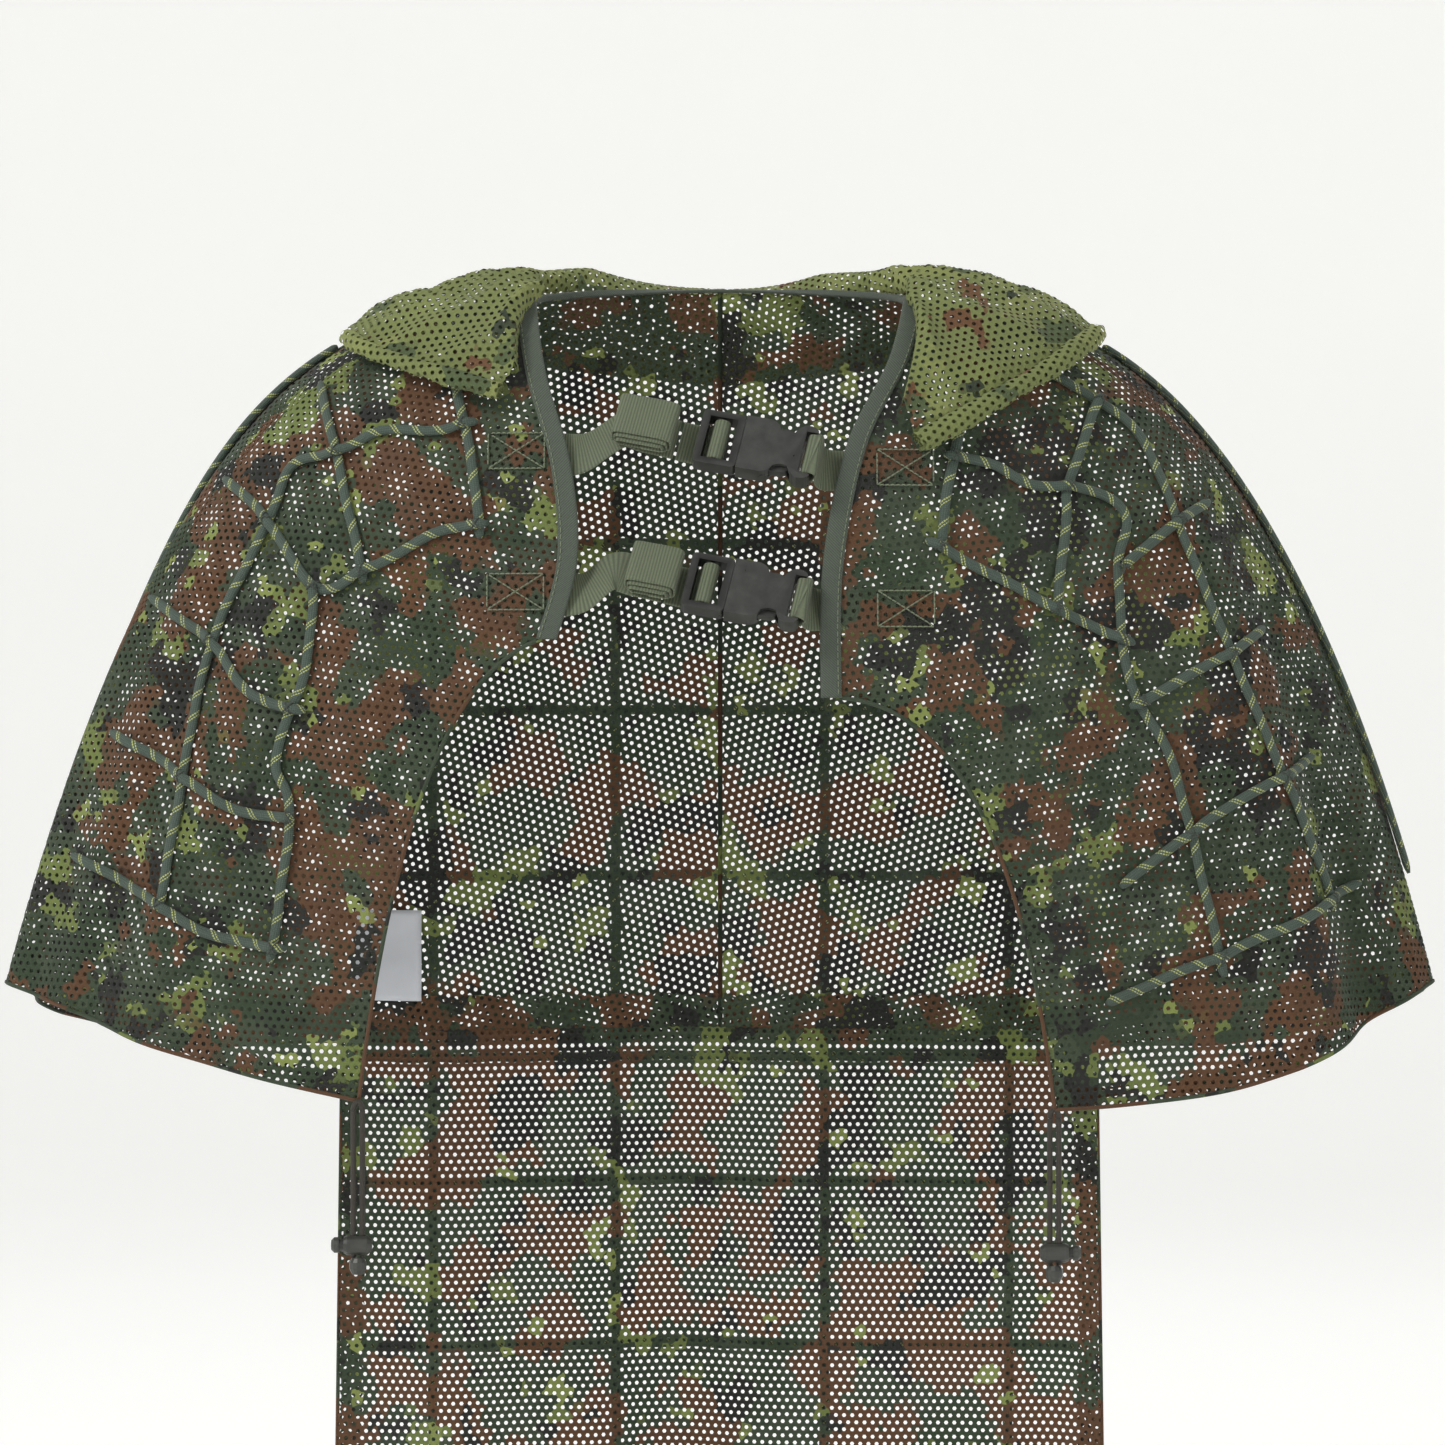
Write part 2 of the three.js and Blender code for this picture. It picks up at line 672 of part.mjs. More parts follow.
function addStrap(name, strap) {
  const frame = buckleFrame(strap);
  cape.add(frame);
  const across = () => new THREE.Vector3(0, 1, 0);
  addPiece(frame, `${name}_buckle_male`, maleFrame(), 'plastic');
  addPiece(frame, `${name}_prong_top`, prong(1), 'plastic');
  addPiece(frame, `${name}_prong_bottom`, prong(-1), 'plastic');
  addPiece(frame, `${name}_buckle_female`, femaleShell(), 'plastic');
  addPiece(frame, `${name}_strap_roll`, rolledWebbing(strap.roll), 'webbing');
  const wrap = localCurve([
    [-33, -5.2], [-26, -6], [-19.5, -5.8], [-16.6, -2.5],
    [-15.4, 1.4], [-12, 3.1], [-8.6, 1.4], [-8.4, -2.6],
  ]);
  addPiece(frame, `${name}_strap_wrap`, strapGeometry(wrap, across, 16), 'webbing');

  const world = (x, z) => frame.localToWorld(new THREE.Vector3(x, 0, z));
  const crosswise = new THREE.Vector3(0, 1, 0).transformDirection(frame.matrixWorld);
  const turning = (side, drop, start, end) => (u) => {
    const share = THREE.MathUtils.smoothstep(u, start, end);
    return clothUp(FRONTS[side], drop).lerp(crosswise, side === 'right' ? share : 1 - share);
  };
  const base = new THREE.CatmullRomCurve3([
    underPanel(-1, 124, strap.drops.right),
    underPanel(-1, 100, strap.drops.right),
    underPanel(-1, 74, strap.drops.right),
    world(-63, -3.4),
    world(-50, -3.4),
    world(-34.5, -4.8),
  ], false, 'centripetal');
  const baseAcross = turning('right', strap.drops.right, 0.35, 0.75);
  addPiece(cape, `${name}_strap_base`, strapGeometry(base, baseAcross, 12), 'webbing');
  const anchor = new THREE.CatmullRomCurve3([
    world(41, -4),
    world(38, -4),
    world(34.9, -2.6),
    world(34.9, 2.6),
    world(38, 4),
    world(41.5, 3),
    underPanel(1, strap.centre[0] + 46, strap.drops.left),
    underPanel(1, 88, strap.drops.left),
    underPanel(1, 112, strap.drops.left),
  ], false, 'centripetal');
  const anchorAcross = turning('left', strap.drops.left, 0.5, 0.72);
  addPiece(cape, `${name}_strap_anchor`, strapGeometry(anchor, anchorAcross, 20), 'webbing');
}

// ---- Shock cords and cord locks ----

function barrel(profile) {
  const points = profile.map(([radius, height]) => new THREE.Vector2(radius, height));
  const lathe = new THREE.LatheGeometry(points, 14);
  lathe.rotateZ(-Math.PI / 2);
  return solidOf(lathe);
}

// The lock's own frame has the plunger along +X. The strands pass through it along Z, side by side in X.
const STRAND_REACH = SHOCK_SPREAD + SHOCK_RADIUS;

function lockBody() {
  const { radius, length, floor, bore } = LOCK;
  const half = length / 2;
  const shell = barrel([
    [0, -half], [radius * 0.6, -half], [radius, -half + 2.5], [radius, half - 2], [radius - 1, half],
    [bore, half], [bore, -half + floor], [0, -half + floor],
  ]);
  const reach = STRAND_REACH + 0.4;
  const width = SHOCK_RADIUS + 0.4;
  return geometryOf(shell.subtract(boxSolid([-reach, -width, -9], [reach, width, 9])));
}

// The plunger is a fork whose two arms pass either side of the strands.
function lockPlunger() {
  const { length, bore, capRadius, capLength, press } = LOCK;
  const stem = bore - 0.3;
  const start = length / 2 + press + 0.4;
  const end = start + capLength;
  const solid = barrel([
    [0, -STRAND_REACH], [stem, -STRAND_REACH], [stem, start], [capRadius, start],
    [capRadius, end - 1.5], [capRadius - 1.5, end], [0, end],
  ]);
  const width = SHOCK_RADIUS + 0.3;
  const slot = boxSolid([-9, -width, -9], [STRAND_REACH + press + 0.3, width, 9]);
  return geometryOf(solid.subtract(slot));
}

function lockSpring() {
  const [turns, coilRadius, wire] = [3, 2.4, 0.25];
  const start = -LOCK.length / 2 + LOCK.floor + wire + 0.15;
  const reach = -STRAND_REACH - wire - 0.15 - start;
  class Helix extends THREE.Curve {
    getPoint(t, target = new THREE.Vector3()) {
      const turn = 2 * Math.PI * turns * t;
      return target.set(start + reach * t, coilRadius * Math.cos(turn), coilRadius * Math.sin(turn));
    }
  }
  return tubeGeometry(new Helix(), wire, 4, turns * 7);
}

function addCordEnd(side, front) {
  const tip = placed(...front.tip);
  const anchor = drape(tip.level, roundTo(front.sign, tip.turn, false));
  const end = new THREE.Group();
  end.position.copy(anchor);
  cape.add(end);
  const strandTop = -5;
  for (const [name, offset] of [['inner', -SHOCK_SPREAD], ['outer', SHOCK_SPREAD]]) {
    const strand = new THREE.LineCurve3(
      new THREE.Vector3(offset, 0, strandTop),
      new THREE.Vector3(offset, 0, strandTop - SHOCK_LENGTH),
    );
    addPiece(end, `shock_cord_${side}_${name}`, tubeGeometry(strand, SHOCK_RADIUS, 8, 9), 'shock');
  }
  const bead = new THREE.LatheGeometry([[0, -9], [3, -9], [4.6, -6], [4.6, -2.5], [3.4, -GAP], [0, -GAP]]
    .map(([radius, height]) => new THREE.Vector2(radius, height)), 12);
  bead.rotateX(Math.PI / 2);
  bead.translate(0, 0, strandTop - SHOCK_LENGTH);
  addPiece(end, `cord_end_${side}`, bead, 'plastic');

  const lock = new THREE.Group();
  lock.position.set(0, 0, strandTop - SHOCK_LENGTH + LOCK.radius + 1.2);
  lock.rotation.z = front.sign > 0 ? 0 : Math.PI;
  end.add(lock);
  addPiece(lock, `cord_lock_body_${side}`, lockBody(), 'plastic');
  addPiece(lock, `cord_lock_plunger_${side}`, lockPlunger(), 'plastic');
  addPiece(lock, `cord_lock_spring_${side}`, lockSpring(), 'steel');
}

// ---- Assembly ----

for (const [side, front] of Object.entries(FRONTS)) {
  addFront(side, front);
  addFrontNet(side, front);
  addCordEnd(side, front);
}
addBack();
addLabel();
addHood();
addBackNet();
for (const [name, strap] of Object.entries(STRAPS)) {
  addStrap(name, strap);
}

export default cape;
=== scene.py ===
import math

import bpy
import numpy as np
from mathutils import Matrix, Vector
from mathutils.bvhtree import BVHTree


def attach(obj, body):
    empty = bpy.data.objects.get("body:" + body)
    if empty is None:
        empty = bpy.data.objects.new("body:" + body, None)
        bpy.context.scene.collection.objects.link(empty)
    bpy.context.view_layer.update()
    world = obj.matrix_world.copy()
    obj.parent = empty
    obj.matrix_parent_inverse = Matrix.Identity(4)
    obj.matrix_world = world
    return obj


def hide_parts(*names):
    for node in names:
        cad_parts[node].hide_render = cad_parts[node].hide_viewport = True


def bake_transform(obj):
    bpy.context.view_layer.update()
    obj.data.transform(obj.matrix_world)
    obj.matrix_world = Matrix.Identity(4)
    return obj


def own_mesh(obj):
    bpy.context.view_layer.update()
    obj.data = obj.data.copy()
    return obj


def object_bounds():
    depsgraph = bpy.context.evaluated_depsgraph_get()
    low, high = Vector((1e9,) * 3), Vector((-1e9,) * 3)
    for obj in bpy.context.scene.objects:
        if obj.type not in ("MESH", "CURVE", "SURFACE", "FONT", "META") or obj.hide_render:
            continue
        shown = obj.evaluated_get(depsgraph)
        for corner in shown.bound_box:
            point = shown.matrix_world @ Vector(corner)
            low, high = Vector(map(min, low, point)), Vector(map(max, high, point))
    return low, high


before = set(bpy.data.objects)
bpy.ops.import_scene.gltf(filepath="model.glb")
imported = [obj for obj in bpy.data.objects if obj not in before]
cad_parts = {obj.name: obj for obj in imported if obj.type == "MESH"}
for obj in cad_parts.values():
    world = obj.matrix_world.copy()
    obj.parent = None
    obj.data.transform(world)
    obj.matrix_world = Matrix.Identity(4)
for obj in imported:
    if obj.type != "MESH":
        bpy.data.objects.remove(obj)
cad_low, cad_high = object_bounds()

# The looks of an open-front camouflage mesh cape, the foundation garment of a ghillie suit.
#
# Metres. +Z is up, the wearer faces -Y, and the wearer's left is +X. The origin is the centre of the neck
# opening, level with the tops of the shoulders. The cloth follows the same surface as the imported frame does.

# ---- Driving dimensions ----

MM = 0.001
NECK_HALF_WIDTH = 0.100
NECK_DEPTH = 0.062
HEM_HALF_WIDTH = 0.387
HEM_DROP = 0.375
CHEST_SWELL = 0.066
BACK_SWELL = 0.056
BODY_EASE = 0.070
WAIST_START = 0.230
WAIST_TAPER = 0.12
BACK_NECK_LIFT = 0.012
BINDING_WIDTH = 0.011
BINDING_OVERLAP = 0.003          # how far a panel runs in under its binding
BINDING_HALF_THICKNESS = 0.0018
NAPE_EASE = 0.0024
YOKE_DROP = 0.415
YOKE_OVERLAP = 0.008             # how far the hanging panel runs up under the yoke
BACK_LENGTH = 0.860
BACK_HALF_WIDTH = 0.215
BACK_FLARE = 0.007
WEB_WIDTH = 0.025
WEB_THICKNESS = 0.0014
RIB_PITCH = 0.0016
RIB_DEPTH = 0.00016
UNDER_PANEL = 0.0042             # how far inside the cloth a sewn strap end lies
STRAP_TILT = math.radians(32)
STRAP_SLOPE = math.radians(12)
STITCHED_BOX = (0.030, 0.019)
BOXINESS = 0.42                  # below 1, a rounded section is nearer to a box than to a circle
SHOCK_DIAMETER = 0.003
SHOCK_SPREAD = 0.0024
SHOCK_LENGTH = 0.078
SHOCK_TOP = 0.005                # a strand starts this far below the cape's tip
SHOCK_BIGHT_HEIGHT = 0.0045
HOLE_PITCH = 0.0047
HOLE_RADIUS = 0.00122
NET_RELIEF = 0.00024             # how far the knit rises at its crossings, and sinks at a hole's rim
CORD_WIDTH = 0.0056
CORD_HEIGHT = 0.0042
CORD_LIFT = 0.0026               # cord centre above the cloth
CROSSING_LIFT = 0.0036           # how far a cord rises to pass over another
CROSSING_REACH = 0.0062          # and how near to the other it starts to
TACK_REACH = 0.003               # cords that come this near to each other are tacked together
TACK_THICKNESS = 0.0008
HEM_WIDTH = 0.014
HEM_DEPTH = 0.0011               # how far inside the cloth its turned-up hem lies
HEM_COLUMNS = 4
ROLL_RADIUS = 0.0011             # of the rolled edge of a hem
CENTRE_ROLL_RADIUS = 0.0014
RIDGE_ROLL_RADIUS = 0.0023
ROLL_STEPS = 120
PANEL_DEPTH = 0.0016             # how far inside the yoke the hanging panel lies
FOLD_DEPTH = 0.0115
HOOD_REST = 0.0085               # how far the hood's underside stands off the shoulders
HOOD_SEAM_HEIGHT = 0.0022

RIDGE = np.array([(NECK_HALF_WIDTH, 0), (0.240, -0.002), (0.312, -0.085), (HEM_HALF_WIDTH, -HEM_DROP)])

# Each front's edges as [distance from the middle, drop below the neck], in millimetres.
FRONTS = {
    "right": {
        "sign": -1,
        "edge": [(100, 0), (93, 45), (79, 95), (75, 145), (86, 188)],
        "arch": (165, 210),
        "tip": (193, 434),
        "hem_sag": 2,
    },
    "left": {
        "sign": 1,
        "edge": [(100, 0), (90, 38), (67, 85), (54, 150), (53, 219)],
        "arch": (152, 222),
        "tip": (178, 438),
        "hem_sag": 8,
    },
}

# Cords on each front, as [distance from the middle, drop], in millimetres.
FRONT_CORDS = {
    "right": [
        [(148, 30), (140, 55), (130, 103), (127, 135)],
        [(216, 49), (205, 88), (196, 125), (188, 158)],
        [(128, 73), (148, 77), (180, 77), (204, 88), (230, 95),
         (242, 124), (269, 178), (281, 220), (289, 273), (299, 333)],
        [(268, 100), (242, 124), (215, 160), (188, 152), (150, 132), (122, 127)],
        [(215, 158), (220, 204), (236, 252), (228, 280), (239, 360)],
        [(308, 165), (272, 190), (248, 218), (219, 226)],
        [(330, 237), (285, 262), (259, 278), (225, 283)],
        [(352, 304), (303, 328), (269, 346), (230, 352)],
    ],
    "left": [
        [(170, 42), (203, 60), (223, 76), (234, 98), (252, 147), (276, 209), (299, 262), (334, 333)],
        [(135, 50), (128, 74), (121, 104), (116, 140)],
        [(203, 58), (186, 104), (184, 123), (178, 175)],
        [(118, 91), (145, 96), (166, 106), (200, 109), (216, 123),
         (212, 152), (218, 209), (237, 245), (249, 284), (269, 368)],
        [(108, 136), (141, 153), (180, 173), (220, 190)],
        [(263, 113), (236, 131), (213, 150)],
        [(294, 181), (257, 203), (218, 224)],
        [(326, 249), (280, 271), (245, 295), (214, 320)],
        [(351, 318), (304, 340), (258, 360), (206, 382)],
    ],
}

BACK_CORD_COLUMNS = [-165, -60, 60, 165]
BACK_CORD_ROWS = [130, 225, 320, 424, 496, 590, 690, 790]
BACK_COLUMN_TOP = 0.095
BACK_COLUMN_END = 0.825
SLEEVE_ROW_START = 0.3           # turn in from the ridge, in radians
HANGING_ROWS_FROM = YOKE_DROP - 0.060
HANGING_ROW_REACH = 0.205
SLEEVE_COLUMN_ANGLE = math.radians(42)
SLEEVE_COLUMN_TOP = 0.42         # as levels, and so are the next two
SLEEVE_COLUMN_REACH = 0.54
RIDGE_CORD_LEVELS = (0.3, 0.93)
RIDGE_CORD_TURN = 0.05

# The collapsed hood's stations round the neck: angle in degrees, how far out the ridge is at its near and far
# edges and how high it stands, in millimetres, and how deeply it is creased into two humps.
HOOD_STATIONS = np.array([
    (-68, 256, 274, 3, 0.0),
    (-52, 165, 250, 6, 0.0),
    (-34, 118, 226, 9, 0.0),
    (-14, 112, 206, 10, 0.2),
    (8, 112, 196, 9, 0.5),
    (45, 116, 215, 12, 0.8),
    (90, 118, 235, 16, 0.9),
    (135, 116, 215, 12, 0.9),
    (172, 112, 198, 7, 1.0),
    (194, 112, 204, 8, 1.1),
    (212, 118, 224, 8, 0.9),
    (230, 150, 240, 7, 0.4),
    (243, 236, 252, 4, 0.0),
])

# Each strap's buckle centre, how far below the neck its ends are sewn on (right, left), and where its roll of
# spare webbing starts and ends along the buckle's own axis, in millimetres.
STRAPS = {
    "upper": {"centre": (11, -115, -86), "drops": (88, 97), "roll": (-68, -34)},
    "lower": {"centre": (5, -126, -162), "drops": (163, 172), "roll": (-54.5, -25.5)},
}

ROOT = "root"


# ---- The surface that the cloth follows ----

def smoothstep(low, high, value):
    share = np.clip((value - low) / (high - low), 0, 1)
    return share * share * (3 - 2 * share)


def ridge_at(level):
    """How far out and how high the shoulder ridge is at a level: 0 at the neck, 1 at the sleeve hem."""
    level = np.asarray(level, float)
    t = np.clip(level, 0, 1)[..., None]
    s = 1 - t
    point = s**3 * RIDGE[0] + 3 * s * s * t * RIDGE[1] + 3 * s * t * t * RIDGE[2] + t**3 * RIDGE[3]
    return point + 3 * np.clip(level - 1, 0, None)[..., None] * (RIDGE[3] - RIDGE[2])


def drape(level, angle):
    """A point of the cape. "angle" runs round the body from the wearer's left ridge, by way of the back."""
    level, angle = np.broadcast_arrays(np.asarray(level, float), np.asarray(angle, float))
    ridge = ridge_at(level)
    out, up = ridge[..., 0], ridge[..., 1]
    sine = np.sin(angle)
    ease = 1 - np.exp(up / BODY_EASE)
    waist = WAIST_TAPER * np.clip(-up - WAIST_START, 0, None)
    depth = np.where(sine > 0, NECK_DEPTH + BACK_SWELL * ease, NECK_DEPTH + CHEST_SWELL * ease - waist)
    lift = BACK_NECK_LIFT * np.clip(sine, 0, None) * np.exp(-6 * level)
    return np.stack([out * np.cos(angle), depth * sine, up + lift], -1)


def unit(vectors):
    return vectors / np.maximum(np.linalg.norm(vectors, axis=-1, keepdims=True), 1e-12)


def drape_normal(level, angle):
    step = 1e-3
    level, angle = np.broadcast_arrays(np.asarray(level, float), np.asarray(angle, float))
    down = drape(level + step, angle) - drape(np.clip(level - step, 0, None), angle)
    around = drape(level, angle + step) - drape(level, angle - step)
    return unit(np.cross(down, around))


def fold(level, angle):
    """How far the hanging cloth swings out of its plain shape: soft folds that fan out from the neck."""
    cosine, sine = np.cos(angle), np.sin(angle)
    out = ridge_at(level)[..., 0] * cosine
    hanging = np.arccos(np.clip(out / HEM_HALF_WIDTH, -1, 1))
    steady = np.where((sine > 0) & (level > 1), hanging, angle)
    chest = np.where(sine > 0, 1.0, smoothstep(0.30, 0.85, np.abs(cosine)))
    depth = FOLD_DEPTH * chest * smoothstep(0.42, 1.02, level)
    broad = np.sin(11 * steady + 2.6 * np.minimum(level, 1))
    fine = np.sin(23 * steady - 1.9 + 4.0 * np.minimum(level, 1))
    crease = 1 - 2 * np.abs(np.sin(6.5 * steady + 1.2 * level))
    hang = 0.004 * smoothstep(1.05, 1.6, level) * np.sin(31 * steady + 0.7)
    return depth * (0.5 * broad + 0.25 * fine + 0.25 * crease) + hang


def surface(level, angle, height=0.0):
    height = np.asarray(height + fold(level, angle))[..., None]
    return drape(level, angle) + drape_normal(level, angle) * height


def bisect(reached, low, high):
    low, high = np.full(np.shape(reached(low)), low, float), np.full(np.shape(reached(low)), high, float)
    for _ in range(34):
        middle = (low + high) / 2
        far = reached(middle)
        low, high = np.where(far, low, middle), np.where(far, middle, high)
    return (low + high) / 2


def level_at_drop(drop):
    drop = np.asarray(drop, float)
    return bisect(lambda level: -ridge_at(level)[..., 1] >= drop, 0.0, 1.7)


def level_at_ridge_width(width):
    width = np.asarray(width, float)
    return bisect(lambda level: ridge_at(level)[..., 0] >= width, 0.0, 1.0)


def placed(out, drop):
    """Where a place seen from in front lies on the cape, as its level and its turn in from the ridge."""
    out, drop = np.broadcast_arrays(np.asarray(out, float), np.asarray(drop, float))
    by_width = np.where(out > NECK_HALF_WIDTH, level_at_ridge_width(out), 0)
    level = np.maximum(level_at_drop(drop), by_width)
    turn = np.arccos(np.minimum(1, out / ridge_at(level)[..., 0]))
    return level, turn


def round_to(sign, turn, towards_back=False):
    signed = turn if towards_back else -turn
    return signed if sign > 0 else math.pi - signed


def spline(points, t):
    """A smooth curve through points that are spread evenly over t from 0 to 1."""
    points = np.asarray(points, float)
    t = np.clip(np.asarray(t, float), 0, 1) * (len(points) - 1)
    first = np.minimum(t.astype(int), len(points) - 2)
    weight = (t - first)[..., None]
    last = len(points) - 1
    p0, p1 = points[np.maximum(first - 1, 0)], points[first]
    p2, p3 = points[first + 1], points[np.minimum(first + 2, last)]
    v0, v1 = (p2 - p0) / 2, (p3 - p1) / 2
    cubic = (2 * p1 - 2 * p2 + v0 + v1) * weight**3
    return cubic + (-3 * p1 + 3 * p2 - 2 * v0 - v1) * weight**2 + v0 * weight + p1


def arc_lengths(path):
    """How far along a path each of its points lies."""
    return np.concatenate([[0], np.cumsum(np.linalg.norm(np.diff(path, axis=0), axis=1))])


def resampled(values, stations, wanted):
    """Rows of values that are known at some stations, read off at others."""
    return np.stack([np.interp(wanted, stations, values[:, k]) for k in range(values.shape[1])], -1)


def even_path(points, step):
    """Points a fixed step apart along the smooth curve through the given points."""
    fine = spline(points, np.linspace(0, 1, 400))
    along = arc_lengths(fine)
    count = max(4, round(along[-1] / step))
    return resampled(fine, along, np.linspace(0, along[-1], count + 1))


def boxed(values):
    """Sines or cosines pushed outwards, so that a circle made from them is a box with round corners."""
    return np.sign(values) * np.abs(values)**BOXINESS


# ---- Materials ----

def colour(code):
    """A colour given as six hexadecimal digits, as the numbers that a shader wants."""
    values = [int(code[i:i + 2], 16) / 255 for i in (0, 2, 4)]
    linear = [v / 12.92 if v <= 0.04045 else ((v + 0.055) / 1.055) ** 2.4 for v in values]
    return (*linear, 1.0)


class Shader:
    """A node material under construction."""

    def __init__(self, name, roughness=0.8, sheen=0.0):
        self.material = bpy.data.materials.new(name)
        self.material.use_nodes = True
        self.nodes = self.material.node_tree.nodes
        self.links = self.material.node_tree.links
        self.shader = next(n for n in self.nodes if n.type == "BSDF_PRINCIPLED")
        self.shader.inputs["Roughness"].default_value = roughness
        self.shader.inputs["Sheen Weight"].default_value = sheen
        self.shader.inputs["Sheen Roughness"].default_value = 0.6

    def add(self, kind, inputs=None, **settings):
        node = self.nodes.new(kind)
        for key, value in settings.items():
            setattr(node, key, value)
        for key, value in (inputs or {}).items():
            if isinstance(value, bpy.types.NodeSocket):
                self.links.new(value, node.inputs[key])
            else:
                node.inputs[key].default_value = value
        return node

    def uv(self):
        return self.add("ShaderNodeUVMap", uv_map="cloth").outputs["UV"]

    def place(self):
        return self.add("ShaderNodeTexCoord").outputs["Object"]

    def math(self, operation, a, b=0.0, c=0.0):
        return self.add("ShaderNodeMath", {0: a, 1: b, 2: c}, operation=operation).outputs[0]

    def plus(self, a, b, share):
        """a, and a share of b on top."""
        return self.math("ADD", a, self.math("MULTIPLY", b, share))

    def wave(self, value, pitch):
        """A sine wave along a value that is in metres."""
        return self.math("SINE", self.math("MULTIPLY", value, 2 * math.pi / pitch))

    def solid(self, code):
        """A colour on a node of its own, so that the nodes after it can change it."""
        node = self.add("ShaderNodeRGB")
        node.outputs[0].default_value = colour(code)
        return node.outputs[0]

    def split(self, vector):
        node = self.add("ShaderNodeSeparateXYZ", {0: vector})
        return node.outputs[0], node.outputs[1]

    def noise(self, vector, scale, detail=2.0, w=None):
        inputs = {"Vector": vector, "Scale": scale, "Detail": detail}
        if w is None:
            return self.add("ShaderNodeTexNoise", inputs).outputs["Fac"]
        inputs["W"] = w
        return self.add("ShaderNodeTexNoise", inputs, noise_dimensions="4D").outputs["Fac"]

    def mix(self, share, a, b, blend="MIX"):
        node = self.add("ShaderNodeMix", data_type="RGBA", blend_type=blend)
        for key, value in ((0, share), (6, a), (7, b)):
            if isinstance(value, bpy.types.NodeSocket):
                self.links.new(value, node.inputs[key])
            else:
                node.inputs[key].default_value = value
        return node.outputs[2]

    def ramp(self, value, low, high, start=0.0, end=1.0):
        return self.add("ShaderNodeMapRange", {0: value, 1: low, 2: high, 3: start, 4: end}).outputs[0]

    def shade(self, base, value, low, high):
        """The base colour, darkened or lightened by a value from 0 to 1."""
        inputs = {"Color": base, "Value": self.ramp(value, 0, 1, low, high)}
        return self.add("ShaderNodeHueSaturation", inputs).outputs[0]

    def finish(self, base, height=None, depth=0.0002, strength=0.6, roughness=None):
        self.links.new(base, self.shader.inputs["Base Color"])
        if height is not None:
            bump = self.add("ShaderNodeBump", {"Height": height, "Distance": depth, "Strength": strength})
            self.links.new(bump.outputs[0], self.shader.inputs["Normal"])
        if roughness is not None:
            self.links.new(roughness, self.shader.inputs["Roughness"])
        return self.material


YARN_TWIST = 0.0011              # pitches of the finest textures
PICK_PITCH = 0.0007
LABEL_ROW_PITCH = 0.0006
CELLS_PER_METRE = 185.0          # the print's dots
CELL_WOBBLE = 0.005
PRINT_EDGE = 0.004               # half the width of a blotch's edge, as a share of the noise

# The blotches, from the bottom layer up: colour, the noise's fourth coordinate, its scale, and the level of
# the noise above which the colour is printed.
FIELD_BLOTCHES = [
    ("2c3a26", 3.1, 33, 0.50),
    ("66723a", 8.7, 29, 0.60),
    ("563921", 5.3, 25, 0.54),
    ("1b1d18", 1.9, 34, 0.585),
    ("7c8747", 6.6, 46, 0.68),
]
HOOD_BLOTCHES = [
    ("727b47", 3.1, 22, 0.47),
    ("4c5937", 8.7, 26, 0.63),
    ("66462a", 5.3, 28, 0.645),
    ("2f3827", 1.9, 30, 0.68),
]


def camouflage(name, ground, blotches, sheen):
    """Knit printed with blotches, whose edges follow small round cells."""
    shader = Shader(name, roughness=0.86, sheen=sheen)
    uv = shader.uv()
    wobble = shader.add("ShaderNodeTexNoise", {"Vector": uv, "Scale": 130.0, "Detail": 1.0}).outputs["Color"]
    shift = shader.add("ShaderNodeVectorMath", {0: wobble, 1: (CELL_WOBBLE,) * 3}, operation="MULTIPLY")
    warped = shader.add("ShaderNodeVectorMath", {0: uv, 1: shift.outputs[0]}, operation="ADD").outputs[0]
    inputs = {"Vector": warped, "Scale": CELLS_PER_METRE, "Randomness": 0.95}
    spot = shader.add("ShaderNodeTexVoronoi", inputs).outputs["Position"]
    base = shader.solid(ground)
    for code, w, scale, level in blotches:
        field = shader.noise(spot, scale, 1.5, w)
        inside = shader.ramp(field, level - PRINT_EDGE, level + PRINT_EDGE)
        base = shader.mix(inside, base, colour(code))
    yarn = shader.noise(uv, 1500.0, 2.0)
    wear = shader.noise(uv, 26.0, 3.0)
    base = shader.shade(base, yarn, 0.62, 1.14)
    base = shader.shade(base, wear, 0.78, 1.22)
    twist = shader.wave(shader.math("ADD", *shader.split(uv)), YARN_TWIST)
    height = shader.plus(yarn, twist, 0.3)
    rough = shader.ramp(wear, 0.3, 0.7, 0.78, 0.95)
    return shader.finish(base, height, 0.00018, 0.7, rough)


def woven_tape(name, code, rib, slant, sheen):
    """Tape with ribs across it, turned by "slant", and slightly dirty in places."""
    shader = Shader(name, roughness=0.82, sheen=sheen)
    uv = shader.uv()
    x, y = shader.split(uv)
    ribs = shader.wave(shader.plus(x, y, slant), rib)
    picks = shader.wave(y, PICK_PITCH)
    weave = shader.ramp(shader.plus(ribs, picks, 0.45), -1.45, 1.45)
    fuzz = shader.noise(uv, 900.0, 3.0)
    dirt = shader.noise(shader.place(), 24.0, 4.0)
    base = shader.shade(shader.solid(code), weave, 0.5, 1.3)
    base = shader.shade(base, fuzz, 0.8, 1.2)
    base = shader.shade(base, dirt, 0.8, 1.18)
    height = shader.plus(weave, fuzz, 0.35)
    return shader.finish(base, height, 0.00025, 0.8, shader.ramp(dirt, 0.3, 0.7, 0.74, 0.92))


